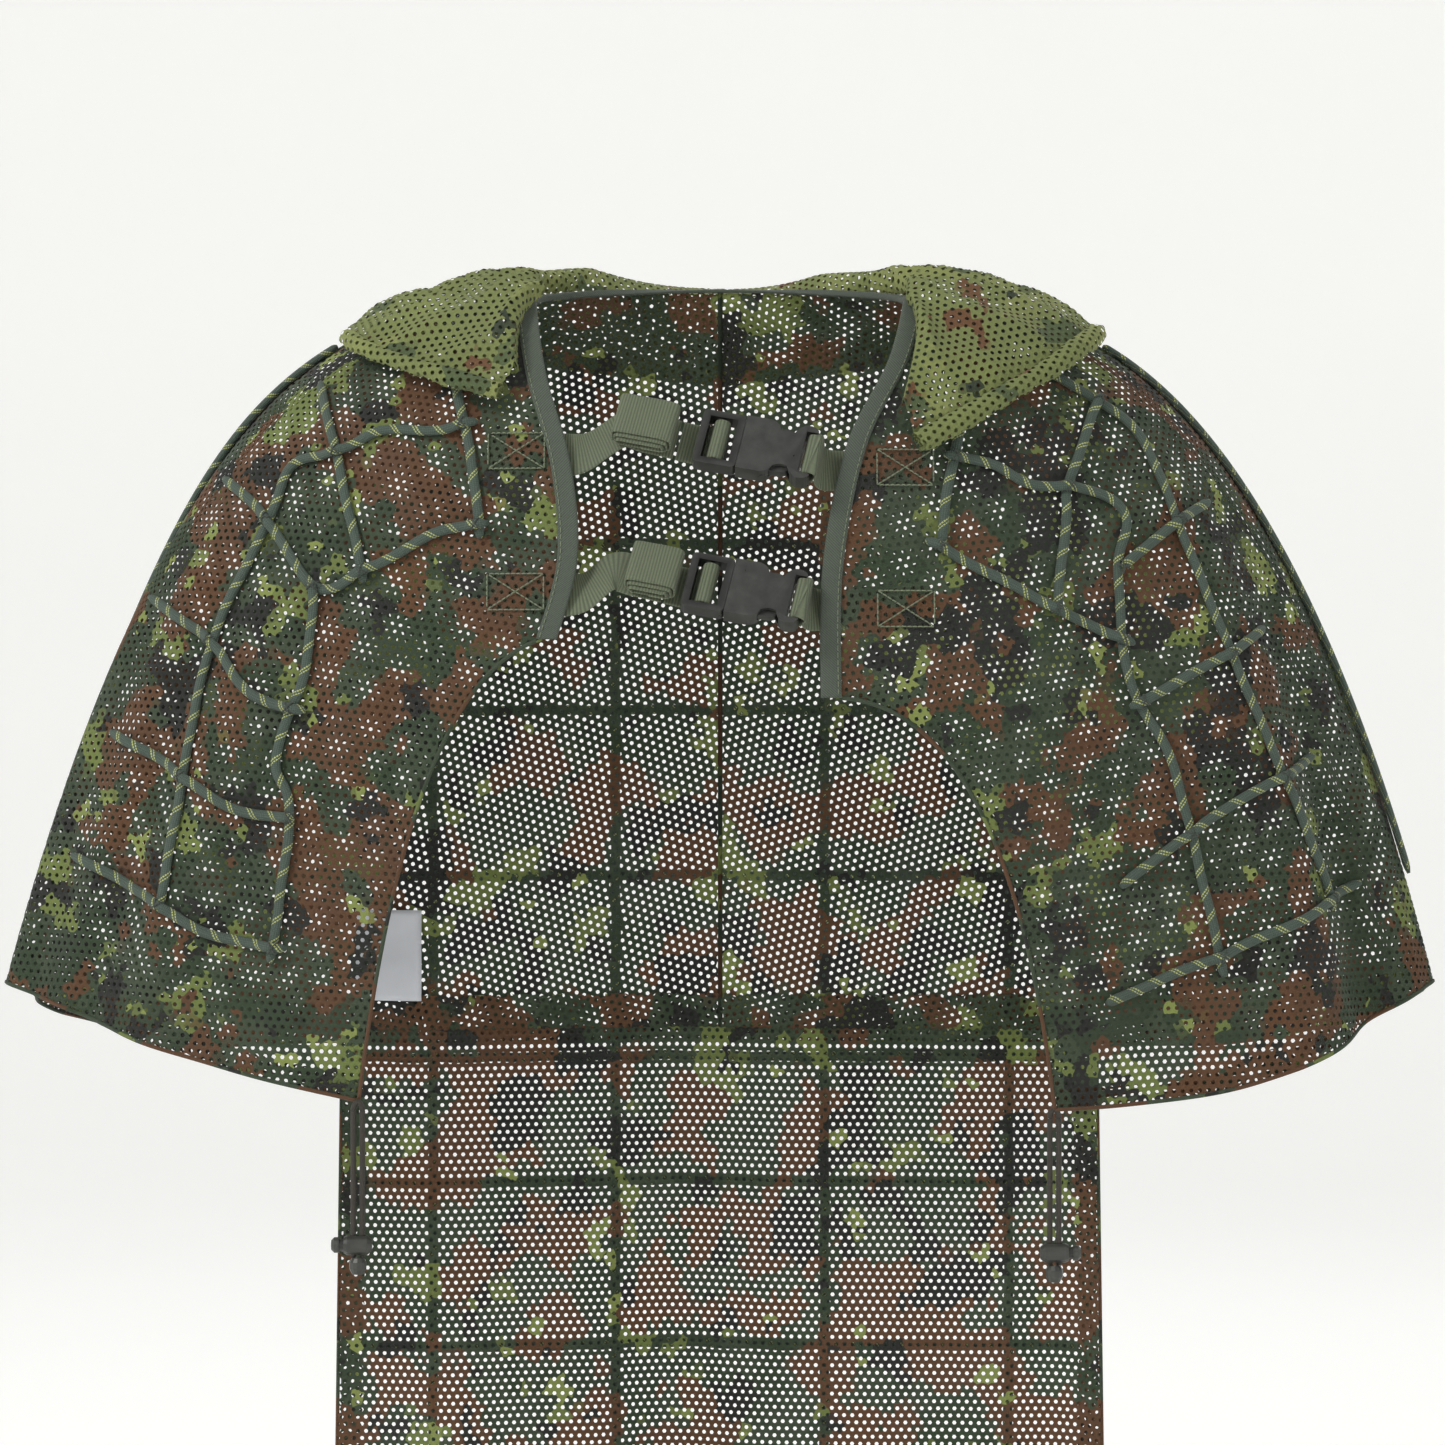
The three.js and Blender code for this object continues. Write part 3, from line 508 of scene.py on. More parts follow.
def braided_cord(name, code, tracer, braid, fleck_pitch):
    """A braid: crossed diagonal strands, and tracer yarns that come to the surface as pairs of flecks."""
    shader = Shader(name, roughness=0.78, sheen=0.05)
    uv = shader.uv()
    x, y = shader.split(uv)
    crossed = [shader.wave(shader.plus(x, y, lean), braid) for lean in (0.9, -0.9)]
    weave = shader.ramp(shader.math("MULTIPLY", *crossed), -1, 1)
    base = shader.shade(shader.solid(code), weave, 0.66, 1.2)
    base = shader.shade(base, shader.noise(uv, 700.0, 3.0), 0.8, 1.2)
    if tracer:
        phase = shader.math("FRACT", shader.math("DIVIDE", shader.plus(x, y, 0.85), fleck_pitch))
        first = shader.math("LESS_THAN", phase, 0.085)
        second = shader.math("COMPARE", phase, 0.20, 0.035)
        dash = shader.math("FRACT", shader.math("DIVIDE", shader.math("SUBTRACT", x, y), braid))
        broken = shader.math("LESS_THAN", dash, 0.72)
        fleck = shader.math("MULTIPLY", shader.math("MAXIMUM", first, second), broken)
        base = shader.mix(fleck, base, colour(tracer))
    dirt = shader.noise(shader.place(), 30.0, 3.0)
    base = shader.shade(base, dirt, 0.8, 1.15)
    return shader.finish(base, weave, 0.0004, 0.8, shader.ramp(dirt, 0.3, 0.7, 0.7, 0.9))


def moulded_plastic(name, code, worn, roughness):
    """Satin moulded plastic with a fine grain, rubbed paler along its edges."""
    shader = Shader(name, roughness=roughness)
    place = shader.place()
    grain = shader.noise(place, 2600.0, 2.0)
    rub = shader.noise(place, 140.0, 4.0)
    edge = shader.ramp(shader.add("ShaderNodeNewGeometry").outputs["Pointiness"], 0.52, 0.60)
    base = shader.mix(shader.math("MULTIPLY", edge, rub), colour(code), colour(worn))
    base = shader.shade(base, rub, 0.88, 1.12)
    rough = shader.ramp(rub, 0.25, 0.75, roughness - 0.07, roughness + 0.1)
    return shader.finish(base, grain, 0.00005, 0.35, rough)


def thread_material(name, code):
    shader = Shader(name, roughness=0.7, sheen=0.15)
    twist = shader.noise(shader.place(), 2200.0, 2.0)
    base = shader.shade(shader.solid(code), twist, 0.75, 1.25)
    return shader.finish(base, twist, 0.0001, 0.5)


def steel_material():
    shader = Shader("spring_steel", roughness=0.3)
    shader.shader.inputs["Metallic"].default_value = 1.0
    rub = shader.noise(shader.place(), 900.0, 3.0)
    return shader.finish(shader.shade(shader.solid("b4b6b8"), rub, 0.85, 1.1), rub, 0.00003, 0.3)


def label_material():
    shader = Shader("label_satin", roughness=0.55, sheen=0.2)
    uv = shader.uv()
    weave = shader.ramp(shader.wave(shader.split(uv)[1], LABEL_ROW_PITCH), -1, 1)
    base = shader.shade(shader.solid("c9ccd2"), weave, 0.86, 1.04)
    base = shader.shade(base, shader.noise(uv, 60.0, 3.0), 0.9, 1.06)
    return shader.finish(base, weave, 0.0001, 0.5)


CLOTH = camouflage("camouflage_net", "36422f", FIELD_BLOTCHES, 0.04)
HOOD_CLOTH = camouflage("camouflage_hood_net", "7e854d", HOOD_BLOTCHES, 0.04)
TAPE = woven_tape("binding_tape", "4b5348", 0.0014, 0.9, 0.05)
WEBBING = woven_tape("strap_webbing", "5e6650", RIB_PITCH, 0.0, 0.05)
CORD = braided_cord("net_cord_braid", "414f46", "a7ad6c", 0.0021, 0.0125)
SHOCK = braided_cord("shock_cord_braid", "3a352e", None, 0.0012, 0.01)
BUCKLE = moulded_plastic("buckle_plastic", "1a1b19", "444541", 0.33)
TOGGLE = moulded_plastic("toggle_plastic", "20211e", "454641", 0.38)
THREAD = thread_material("sewing_thread", "6b745a")
DARK_THREAD = thread_material("tacking_thread", "2b332a")
STEEL = steel_material()
LABEL = label_material()


# ---- Mesh building ----

def add_object(name, data):
    thing = bpy.data.objects.new(name, data)
    bpy.context.scene.collection.objects.link(thing)
    return thing


def add_uv(mesh, name, uvs):
    """A UV layer, from one pair of coordinates for each of the mesh's points."""
    layer = mesh.uv_layers.new(name=name)
    order = np.zeros(len(mesh.loops), np.int32)
    mesh.loops.foreach_get("vertex_index", order)
    layer.data.foreach_set("uv", np.asarray(uvs, np.float32)[order].ravel())


def build_mesh(name, points, faces, uvs, material):
    """A smooth mesh object from points, and faces that all have as many corners."""
    points, faces = np.asarray(points, np.float32), np.asarray(faces, np.int32)
    mesh = bpy.data.meshes.new(name)
    mesh.vertices.add(len(points))
    mesh.vertices.foreach_set("co", points.ravel())
    corners = faces.shape[1]
    mesh.loops.add(faces.size)
    mesh.loops.foreach_set("vertex_index", faces.ravel())
    mesh.polygons.add(len(faces))
    mesh.polygons.foreach_set("loop_start", np.arange(0, faces.size, corners, dtype=np.int32))
    add_uv(mesh, "cloth", uvs)
    mesh.update(calc_edges=True)
    mesh.validate()
    mesh.polygons.foreach_set("use_smooth", np.ones(len(mesh.polygons), bool))
    mesh.materials.append(material)
    return add_object(name, mesh)


def grid_faces(rows, columns, wrap=False):
    """Quads over a grid of points, row by row. "wrap" joins each row's last point to its first."""
    i, j = np.meshgrid(np.arange(rows - 1), np.arange(columns if wrap else columns - 1), indexing="ij")
    after = (j + 1) % columns
    a, b = i * columns + j, i * columns + after
    c, d = (i + 1) * columns + after, (i + 1) * columns + j
    return np.stack([a, b, c, d], -1).reshape(-1, 4)


def loft(name, sections, material, across=None):
    """A closed solid through ring-shaped sections, with both ends closed by a fan to their middle."""
    sections = np.asarray(sections, float)
    rows, sides = sections.shape[:2]
    middle = sections.mean(1)
    along = arc_lengths(middle)
    if across is None:
        across = np.cumsum(np.linalg.norm(sections - np.roll(sections, 1, axis=1), axis=2).mean(0))
    uvs = np.stack(np.broadcast_arrays(along[:, None], np.asarray(across)[None, :]), -1).reshape(-1, 2)
    points = np.concatenate([sections.reshape(-1, 3), middle[:1], middle[-1:]])
    uvs = np.concatenate([uvs, [[along[0], 0]], [[along[-1], 0]]])
    faces = [tuple(face) for face in grid_faces(rows, sides, wrap=True)]
    first, last = rows * sides, rows * sides + 1
    start = (rows - 1) * sides
    for k in range(sides):
        after = (k + 1) % sides
        faces.append((first, after, k))
        faces.append((last, start + k, start + after))
    mesh = bpy.data.meshes.new(name)
    mesh.from_pydata(points.tolist(), [], faces)
    add_uv(mesh, "cloth", uvs)
    mesh.polygons.foreach_set("use_smooth", np.ones(len(mesh.polygons), bool))
    mesh.materials.append(material)
    return add_object(name, mesh)


def joined(name, pieces):
    """Several mesh objects made into one."""
    bpy.ops.object.select_all(action="DESELECT")
    for piece in pieces:
        piece.select_set(True)
    bpy.context.view_layer.objects.active = pieces[0]
    bpy.ops.object.join()
    pieces[0].name = name
    pieces[0].data.name = name
    return pieces[0]


def tangents(path):
    return unit(np.gradient(path, axis=0))


def tube(name, path, up, width, height, material, sides=10, round_ends=True):
    """An oval cord along a path. "up" is the direction of its height at each point."""
    path = np.asarray(path, float)
    direction = tangents(path)
    up = np.broadcast_to(np.asarray(up, float), path.shape)
    side = unit(np.cross(direction, up))
    up = unit(np.cross(side, direction))
    scale = np.ones(len(path))
    if round_ends:
        scale[0] = scale[-1] = 0.45
        scale[1] = scale[-2] = 0.85
    turn = np.linspace(0, 2 * math.pi, sides, endpoint=False)
    ring = side[:, None] * (np.cos(turn) * width / 2)[None, :, None]
    ring = ring + up[:, None] * (np.sin(turn) * height / 2)[None, :, None]
    across = turn * (width + height) / 4
    return loft(name, path[:, None] + ring * scale[:, None, None], material, across)


def stitch_row(name, path, normal, material, length=0.0026, gap=0.0012, thickness=0.0006):
    """A row of short thread stitches that dive into the cloth at both ends."""
    path = np.asarray(path, float)
    along = arc_lengths(path)
    pieces = []
    starts = np.arange(gap, along[-1] - length, length + gap)
    profile = np.array([-0.55, 0.25, 0.5, 0.25, -0.55]) * thickness
    for k, start in enumerate(starts):
        wanted = start + np.linspace(0, length, 5)
        normals = resampled(normal, along, wanted)
        points = resampled(path, along, wanted) + normals * profile[:, None]
        pieces.append(tube(f"{name}_{k}", points, normals, thickness, thickness, material, 5, False))
    return joined(name, pieces)


# ---- Holed net ----

FLATTENING_ROUNDS = 30


def flatten(points):
    """The flat cut of a grid of cloth: each triangle keeps its shape as nearly as its neighbours let it."""
    rows, columns = points.shape[:2]
    quads = grid_faces(rows, columns)
    triangles = np.concatenate([quads[:, [0, 1, 2]], quads[:, [0, 2, 3]]])
    corners = points.reshape(-1, 3)[triangles]
    first, second = corners[:, 1] - corners[:, 0], corners[:, 2] - corners[:, 0]
    length = np.maximum(np.linalg.norm(first, axis=1), 1e-9)
    along = (first * second).sum(1) / length
    off = np.sqrt(np.maximum((second**2).sum(1) - along**2, 1e-14))
    local = np.zeros((len(triangles), 3, 2))
    local[:, 1, 0] = length
    local[:, 2] = np.stack([along, off], 1)
    count = rows * columns
    matrix = np.zeros((count, count))
    edges = []
    for a, b, opposite in ((0, 1, 2), (1, 2, 0), (2, 0, 1)):
        u, v = local[:, a] - local[:, opposite], local[:, b] - local[:, opposite]
        weight = (u * v).sum(1) / np.maximum(np.abs(u[:, 0] * v[:, 1] - u[:, 1] * v[:, 0]), 1e-12)
        weight = np.clip(weight, 0.05, 20)
        i, j = triangles[:, a], triangles[:, b]
        for p, q, sign in ((i, i, 1), (j, j, 1), (i, j, -1), (j, i, -1)):
            np.add.at(matrix, (p, q), sign * weight)
        edges.append((i, j, weight, local[:, a] - local[:, b]))
    matrix[0, 0] += 1
    inverse = np.linalg.inv(matrix)
    across = np.linalg.norm(np.diff(points, axis=1), axis=2)
    down = np.linalg.norm(np.diff(points, axis=0), axis=2)
    x = np.concatenate([np.zeros((rows, 1)), np.cumsum(across, axis=1)], 1)
    x = x - x.mean(1, keepdims=True)
    y = np.concatenate([np.zeros((1, columns)), np.cumsum(down, axis=0)], 0)
    flat = np.stack([x, y], -1).reshape(-1, 2)
    for _ in range(FLATTENING_ROUNDS):
        covariance = np.zeros((len(triangles), 2, 2))
        for i, j, weight, edge in edges:
            step = flat[i] - flat[j]
            covariance += weight[:, None, None] * step[:, :, None] * edge[:, None, :]
        turn = np.arctan2(covariance[:, 1, 0] - covariance[:, 0, 1],
                          covariance[:, 0, 0] + covariance[:, 1, 1])
        c, s = np.cos(turn), np.sin(turn)
        target = np.zeros((count, 2))
        for i, j, weight, edge in edges:
            turned = np.stack([c * edge[:, 0] - s * edge[:, 1], s * edge[:, 0] + c * edge[:, 1]], 1)
            turned = turned * weight[:, None]
            np.add.at(target, i, turned)
            np.add.at(target, j, -turned)
        flat = inverse @ target
    return flat.reshape(rows, columns, 2), triangles


def hole_lattice(low, high, turn):
    """The middles of hexagonally packed holes that cover a box, turned about its middle."""
    pitch = HOLE_PITCH
    centre, reach = (low + high) / 2, np.linalg.norm(high - low) / 2 + pitch
    row = pitch * math.sqrt(3) / 2
    j = np.arange(-math.ceil(reach / row), math.ceil(reach / row) + 1)
    i = np.arange(-math.ceil(reach / pitch) - 1, math.ceil(reach / pitch) + 2)
    i, j = np.meshgrid(i, j)
    x, y = (i + 0.5 * (j % 2)).ravel() * pitch, j.ravel() * row
    c, s = math.cos(turn), math.sin(turn)
    middles = np.stack([c * x - s * y, s * x + c * y], 1) + centre
    inside = ((middles > low - pitch) & (middles < high + pitch)).all(1)
    return middles[inside]


PATTERN_SHIFT = np.array([0.617, 0.382])      # each panel is cut from another place in the printed cloth
panels_cut = []


def net(name, shape, grid, material, turn):
    """A panel of knit with real holes. shape(u, v) is the cloth's surface over the unit square.

    Returns the piece, and its flat size and area. The holes are laid out on the flat cut, so they stay the
    same size all over the panel.
    """
    columns, rows = grid
    u, v = np.meshgrid(np.linspace(0, 1, columns + 1), np.linspace(0, 1, rows + 1))
    coarse = shape(u, v)
    flat, triangles = flatten(coarse)
    flat_points = flat.reshape(-1, 2)
    square = np.stack([u.ravel(), v.ravel()], 1)
    corners = flat_points[triangles]
    edge_a, edge_b = corners[:, 1] - corners[:, 0], corners[:, 2] - corners[:, 0]
    twice = edge_a[:, 0] * edge_b[:, 1] - edge_a[:, 1] * edge_b[:, 0]
    area = float(np.abs(twice).sum() / 2)
    low, high = flat_points.min(0), flat_points.max(0)
    tree = BVHTree.FromPolygons([(*p, 0.0) for p in flat_points.tolist()], triangles.tolist())

    middles = hole_lattice(low, high, turn)
    found = [tree.find_nearest((x, y, 0.0)) for x, y in middles.tolist()]
    middles = middles[np.array([hit[3] < 1e-6 for hit in found])]
    angles = turn + math.pi / 3 * np.arange(6)
    ring = np.stack([np.cos(angles), np.sin(angles)], 1) * HOLE_RADIUS
    angles = angles + math.pi / 6
    outer = np.stack([np.cos(angles), np.sin(angles)], 1) * HOLE_PITCH / math.sqrt(3)
    ring_points = (middles[:, None] + ring).reshape(-1, 2)
    outer_points = (middles[:, None] + outer).reshape(-1, 2)
    _, first, back = np.unique(np.round(outer_points / (HOLE_PITCH * 0.05)).astype(int), axis=0,
                               return_index=True, return_inverse=True)
    back = back.reshape(-1)
    shared = outer_points[first]
    everything = np.concatenate([ring_points, shared])
    hits = [tree.find_nearest((x, y, 0.0)) for x, y in everything.tolist()]
    nearest = np.array([hit[0][:2] for hit in hits])
    face = np.array([hit[2] for hit in hits])
    offset = nearest - corners[face, 0]
    ea, eb, det = edge_a[face], edge_b[face], twice[face]
    wb = (offset[:, 0] * eb[:, 1] - offset[:, 1] * eb[:, 0]) / det
    wc = (ea[:, 0] * offset[:, 1] - ea[:, 1] * offset[:, 0]) / det
    wa = 1 - wb - wc
    spots = square[triangles[face]]
    spots = spots[:, 0] * wa[:, None] + spots[:, 1] * wb[:, None] + spots[:, 2] * wc[:, None]
    spots = np.clip(spots, 0, 1)
    step = 2e-3
    uu, vv = spots[:, 0], spots[:, 1]
    du = shape(np.clip(uu + step, 0, 1), vv) - shape(np.clip(uu - step, 0, 1), vv)
    dv = shape(uu, np.clip(vv + step, 0, 1)) - shape(uu, np.clip(vv - step, 0, 1))
    normals = unit(np.cross(du, dv))
    relief = np.full(len(everything), NET_RELIEF)
    relief[:len(ring_points)] = -NET_RELIEF
    points = shape(uu, vv) + normals * relief[:, None]

    cells = len(middles)
    r = np.arange(cells * 6).reshape(cells, 6)
    c = len(ring_points) + back.reshape(cells, 6)
    r_next, c_before = np.roll(r, -1, axis=1), np.roll(c, 1, axis=1)
    inner_faces = np.stack([r, c, r_next], -1).reshape(-1, 3)
    outer_faces = np.stack([c_before, c, r], -1).reshape(-1, 3)
    faces = np.concatenate([inner_faces, outer_faces])
    a, b, d = points[faces[:, 0]], points[faces[:, 1]], points[faces[:, 2]]
    solid = np.linalg.norm(np.cross(b - a, d - a), axis=1) > 1e-10
    panels_cut.append(name)
    cloth = everything - low + PATTERN_SHIFT * len(panels_cut)
    piece = build_mesh(name, points, faces[solid], cloth, material)
    unit_square = (everything - low) / (high - low).max()
    add_uv(piece.data, "OFBake", 0.002 + 0.996 * unit_square)
    return piece, tuple((high - low).tolist()), area


# ---- Camera, light and floor ----

CAMERA_PLACE = (0.0013, -2.70, -0.232)
FOCAL_LENGTH = 122


def add_camera():
    data = bpy.data.cameras.new("camera")
    data.sensor_width = 36
    data.lens = FOCAL_LENGTH
    data.clip_end = 50
    camera = add_object("camera", data)
    camera.location = CAMERA_PLACE
    camera.rotation_euler = (math.pi / 2, 0, 0)
    bpy.context.scene.camera = camera


def add_light(name, place, target, size, power, tint=(1, 1, 1)):
    data = bpy.data.lights.new(name, "AREA")
    data.size = size
    data.energy = power
    data.color = tint
    light = add_object(name, data)
    light.location = place
    light.rotation_euler = (Vector(target) - Vector(place)).to_track_quat("-Z", "Y").to_euler()


# The studio bowl's section, as [radius, height above the floor].
STUDIO_SECTION = [(0.01, 0.0), (3.0, 0.0), (5.2, 0.0), (6.4, 0.25), (7.2, 0.9), (7.6, 1.9), (7.7, 4.5)]
STUDIO_RINGS, STUDIO_SIDES = 40, 64
FLOOR_GAP = 0.06                 # the cape hangs this far above the floor
PAPER_GLOW = 0.16
WORLD_STRENGTH = 0.66
WHITE = (1.0, 1.0, 1.0, 1.0)


def add_studio():
    """A pale bowl-shaped studio: a floor that curves up into a wall all round."""
    section = spline(STUDIO_SECTION, np.linspace(0, 1, STUDIO_RINGS))
    turn = np.linspace(0, 2 * math.pi, STUDIO_SIDES, endpoint=False)
    floor = cad_low.z - FLOOR_GAP
    points = np.concatenate([
        np.stack([radius * np.cos(turn), radius * np.sin(turn), np.full(STUDIO_SIDES, floor + height)], -1)
        for radius, height in section])
    shader = Shader("studio_paper", roughness=0.9)
    shader.shader.inputs["Emission Color"].default_value = WHITE
    shader.shader.inputs["Emission Strength"].default_value = PAPER_GLOW
    paper = shader.finish(shader.shade(shader.solid("f4f4f2"), shader.noise(shader.place(), 3.0), 0.99, 1.01))
    faces = grid_faces(STUDIO_RINGS, STUDIO_SIDES, wrap=True)
    build_mesh("studio_bowl", points, faces, points[:, :2], paper)
    world = bpy.data.worlds.new("studio")
    world.use_nodes = True
    world.node_tree.nodes["Background"].inputs[0].default_value = WHITE
    world.node_tree.nodes["Background"].inputs[1].default_value = WORLD_STRENGTH
    bpy.context.scene.world = world
    add_light("key", (-2.2, -1.9, 1.9), (0, 0, -0.25), 0.8, 62, (1.0, 0.99, 0.97))
    add_light("fill", (2.2, -2.2, 0.6), (0, 0, -0.3), 1.8, 6)
    add_light("back", (0.6, 2.8, 1.8), (0, 0, -0.3), 1.8, 12)
    bpy.context.scene.view_settings.view_transform = "Standard"


# ---- Shock cords ----

def tip_place(front):
    return placed(front["tip"][0] * MM, front["tip"][1] * MM)


def shock_anchor(front):
    level, turn = tip_place(front)
    return drape(level, round_to(front["sign"], turn))


def shock_tube(name, path):
    piece = tube(name, path, (0, -1, 0), SHOCK_DIAMETER, SHOCK_DIAMETER, SHOCK, 12, False)
    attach(piece, ROOT)
    return piece


def add_shock_cords():
    """Each front's tip has a doubled elastic cord, with a moulded cord end and a cord lock on it."""
    for side, front in FRONTS.items():
        anchor = shock_anchor(front)
        cord_end, *lock = [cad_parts[f"{part}_{side}"] for part in
                           ("cord_end", "cord_lock_body", "cord_lock_plunger")]
        down = np.outer(np.linspace(0, SHOCK_LENGTH, 30), (0, 0, -1))
        for name, offset, fittings in (("inner", -SHOCK_SPREAD, [cord_end, *lock]),
                                       ("outer", SHOCK_SPREAD, [cord_end])):
            path = anchor + (offset, 0, -SHOCK_TOP) + down
            node = f"shock_cord_{side}_{name}"
            strand = shock_tube(f"{node}_braid", path)
            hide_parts(node)
        turn = np.linspace(0, math.pi, 13)
        rise = SHOCK_BIGHT_HEIGHT * np.sin(turn) - SHOCK_TOP + 0.0002
        shock_tube(f"shock_cord_bight_{side}",
                   anchor + np.stack([-SHOCK_SPREAD * np.cos(turn), 0 * turn, rise], 1))


# ---- Cloth panels ----

def neck_edge(front, v, inward=0.0):
    point = spline(np.array(front["edge"]) * MM, v)
    return placed(point[..., 0] + inward, np.maximum(point[..., 1], 0))


def arch_edge(front, u, start):
    end = np.array(front["edge"][-1]) * MM + (start, 0)
    handle, tip = np.array(front["arch"]) * MM, np.array(front["tip"]) * MM
    u = np.asarray(u, float)[..., None]
    point = (1 - u)**2 * end + 2 * u * (1 - u) * handle + u * u * tip
    return placed(point[..., 0], point[..., 1])


def hem_edge(front, v):
    tip_level, tip_turn = tip_place(front)
    turn = v * tip_turn
    share = (1 - np.cos(turn)) / (1 - np.cos(tip_turn))
    sag = front["hem_sag"] * MM / HEM_DROP * np.sin(math.pi * share)
    return 1 + share * (tip_level - 1) + sag, turn


def front_place(front, u, v):
    """A place on a front panel: u runs from its neck edge to its hem, v from the ridge to the arch."""
    seam = BINDING_WIDTH - BINDING_OVERLAP
    zero, one = np.zeros(1), np.ones(1)
    ridge_start = neck_edge(front, zero, seam)[0][0]
    neck, hem, arch = neck_edge(front, v, seam), hem_edge(front, v), arch_edge(front, u, seam)
    ridge = (ridge_start + u * (1 - ridge_start), np.zeros_like(u))
    corners = [neck_edge(front, zero, seam), hem_edge(front, zero),
               neck_edge(front, one, seam), hem_edge(front, one)]
    blended = []
    for k in (0, 1):
        c00, c10, c01, c11 = (float(corner[k][0]) for corner in corners)
        value = (1 - u) * neck[k] + u * hem[k] + (1 - v) * ridge[k] + v * arch[k]
        value = value - (1 - u) * (1 - v) * c00 - u * (1 - v) * c10
        blended.append(value - (1 - u) * v * c01 - u * v * c11)
    return blended[0], round_to(front["sign"], np.maximum(0, blended[1]))


def yoke_place(sign, u, v):
    """One half of the back yoke: u runs from the ridge to the middle of the back, v from the neck down."""
    start = float(level_at_ridge_width(NECK_HALF_WIDTH + BINDING_WIDTH - BINDING_OVERLAP))
    seam_level = float(level_at_drop(YOKE_DROP))
    turn = u * math.pi / 2
    end = 1 + (seam_level - 1) * np.minimum(1, 1.4 * np.sin(turn))
    return start + v * (end - start), round_to(sign, turn, True)


def panel_place(u, v):
    """The hanging back panel: u runs across it, v down it."""
    start, end = float(level_at_drop(YOKE_DROP - YOKE_OVERLAP)), float(level_at_drop(BACK_LENGTH))
    level = start + v * (end - start)
    half = BACK_HALF_WIDTH + BACK_FLARE * v
    return level, np.arccos((2 * u - 1) * half / ridge_at(level)[..., 0])


def laid(place, height=0.0):
    """A surface over the unit square, from a place on the cape and a height above it."""
    def shape(u, v):
        level, angle = place(np.asarray(u, float), np.asarray(v, float))
        return surface(level, angle, height)
    return shape


def hem_strip(place, edge, panel_length):
    """The turned-up hem inside one edge of a panel. edge is "u1", "v1", "u0" or "v0"."""
    def strip(a, b):
        inner = HEM_WIDTH / panel_length * (1 - a)
        inner = 1 - inner if edge[1] == "1" else inner
        return place(inner, b) if edge[0] == "u" else place(b, inner)
    return strip


def soft_piece(piece, nodes, body=ROOT):
    """A piece that rides on a body, in place of some CAD nodes."""
    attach(piece, body)
    if nodes:
        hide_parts(*nodes)
    return piece


def add_net(name, place, grid, nodes, turn, height=0.0):
    """One net panel on the cape: the piece, its flat size and its flat area."""
    piece, flat, area = net(name, laid(place, height), grid, CLOTH, turn)
    soft_piece(piece, nodes)
    return piece, flat, area


def edge_roll(name, place, radius):
    """The folded edge of a hem: a slim roll along a line on the cape, place(t)."""
    level, angle = place(np.linspace(0, 1, ROLL_STEPS))
    path = surface(level, angle)
    return tube(name, path, drape_normal(level, angle), 2 * radius, 1.7 * radius, CLOTH, 6, False)


def add_hems(name, place, hems):
    """Turned-up hems: each is an edge, the panel's size across it, and its grid steps along it."""
    return [add_net(f"{name}_hem_{edge}", hem_strip(place, edge, across), (HEM_COLUMNS, count), [], 0.5,
                    -HEM_DEPTH)[0]
            for edge, across, count in hems]


def add_edges(name, lines):
    """The rolled edges of a panel, as one piece."""
    rolls = [edge_roll(f"{name}_{k}", line, radius) for k, (line, radius) in enumerate(lines)]
    return soft_piece(joined(name, rolls), [])


FULL = np.ones(ROLL_STEPS)      # the far side of a panel, at every step of an edge


def add_fronts():
    for side, front in FRONTS.items():
        place = lambda u, v, front=front: front_place(front, u, v)
        name = f"front_net_{side}"
        panel = add_net(name, place, (44, 44), [f"front_panel_{side}"], 0.1)
        hems = add_hems(name, place, [("u1", 0.52, 60), ("v1", 0.40, 50)])
        hems.append(add_edges(f"front_edges_{side}", [
            (lambda t: place(FULL, t), ROLL_RADIUS),
            (lambda t: place(t, FULL), ROLL_RADIUS),
            (lambda t: place(t, 0 * FULL), RIDGE_ROLL_RADIUS),
        ]))


def add_back():
    for side, front in FRONTS.items():
        place = lambda u, v, sign=front["sign"]: yoke_place(sign, u, v)
        name = f"back_yoke_net_{side}"
        panel = add_net(name, place, (36, 40), [f"back_yoke_{side}"], 0.0)
        hems = add_hems(name, place, [("v1", 0.46, 60)])
        hems.append(add_edges(f"back_edges_{side}", [
            (lambda t: place(t, FULL), ROLL_RADIUS),
            (lambda t: place(FULL, t), CENTRE_ROLL_RADIUS),
        ]))
    name = "back_panel_net"
    panel = add_net(name, panel_place, (36, 36), ["back_panel"], 0.0, -PANEL_DEPTH)
    hems = add_hems(name, panel_place, [("u0", 0.43, 50), ("u1", 0.43, 50), ("v1", 0.445, 50)])
    hems.append(add_edges("back_panel_edges", [
        (lambda t: panel_place(0 * FULL, t), ROLL_RADIUS),
        (lambda t: panel_place(FULL, t), ROLL_RADIUS),
        (lambda t: panel_place(t, FULL), ROLL_RADIUS),
        (lambda t: panel_place(t, 0 * FULL), ROLL_RADIUS),
    ]))


BINDING_STEP = 0.0022
BINDING_PUCKERS = ((0.10, 0.0068), (0.06, 0.0029))       # share of the thickness, and pitch
BINDING_SEAM = 0.83              # how far across the binding its seam runs


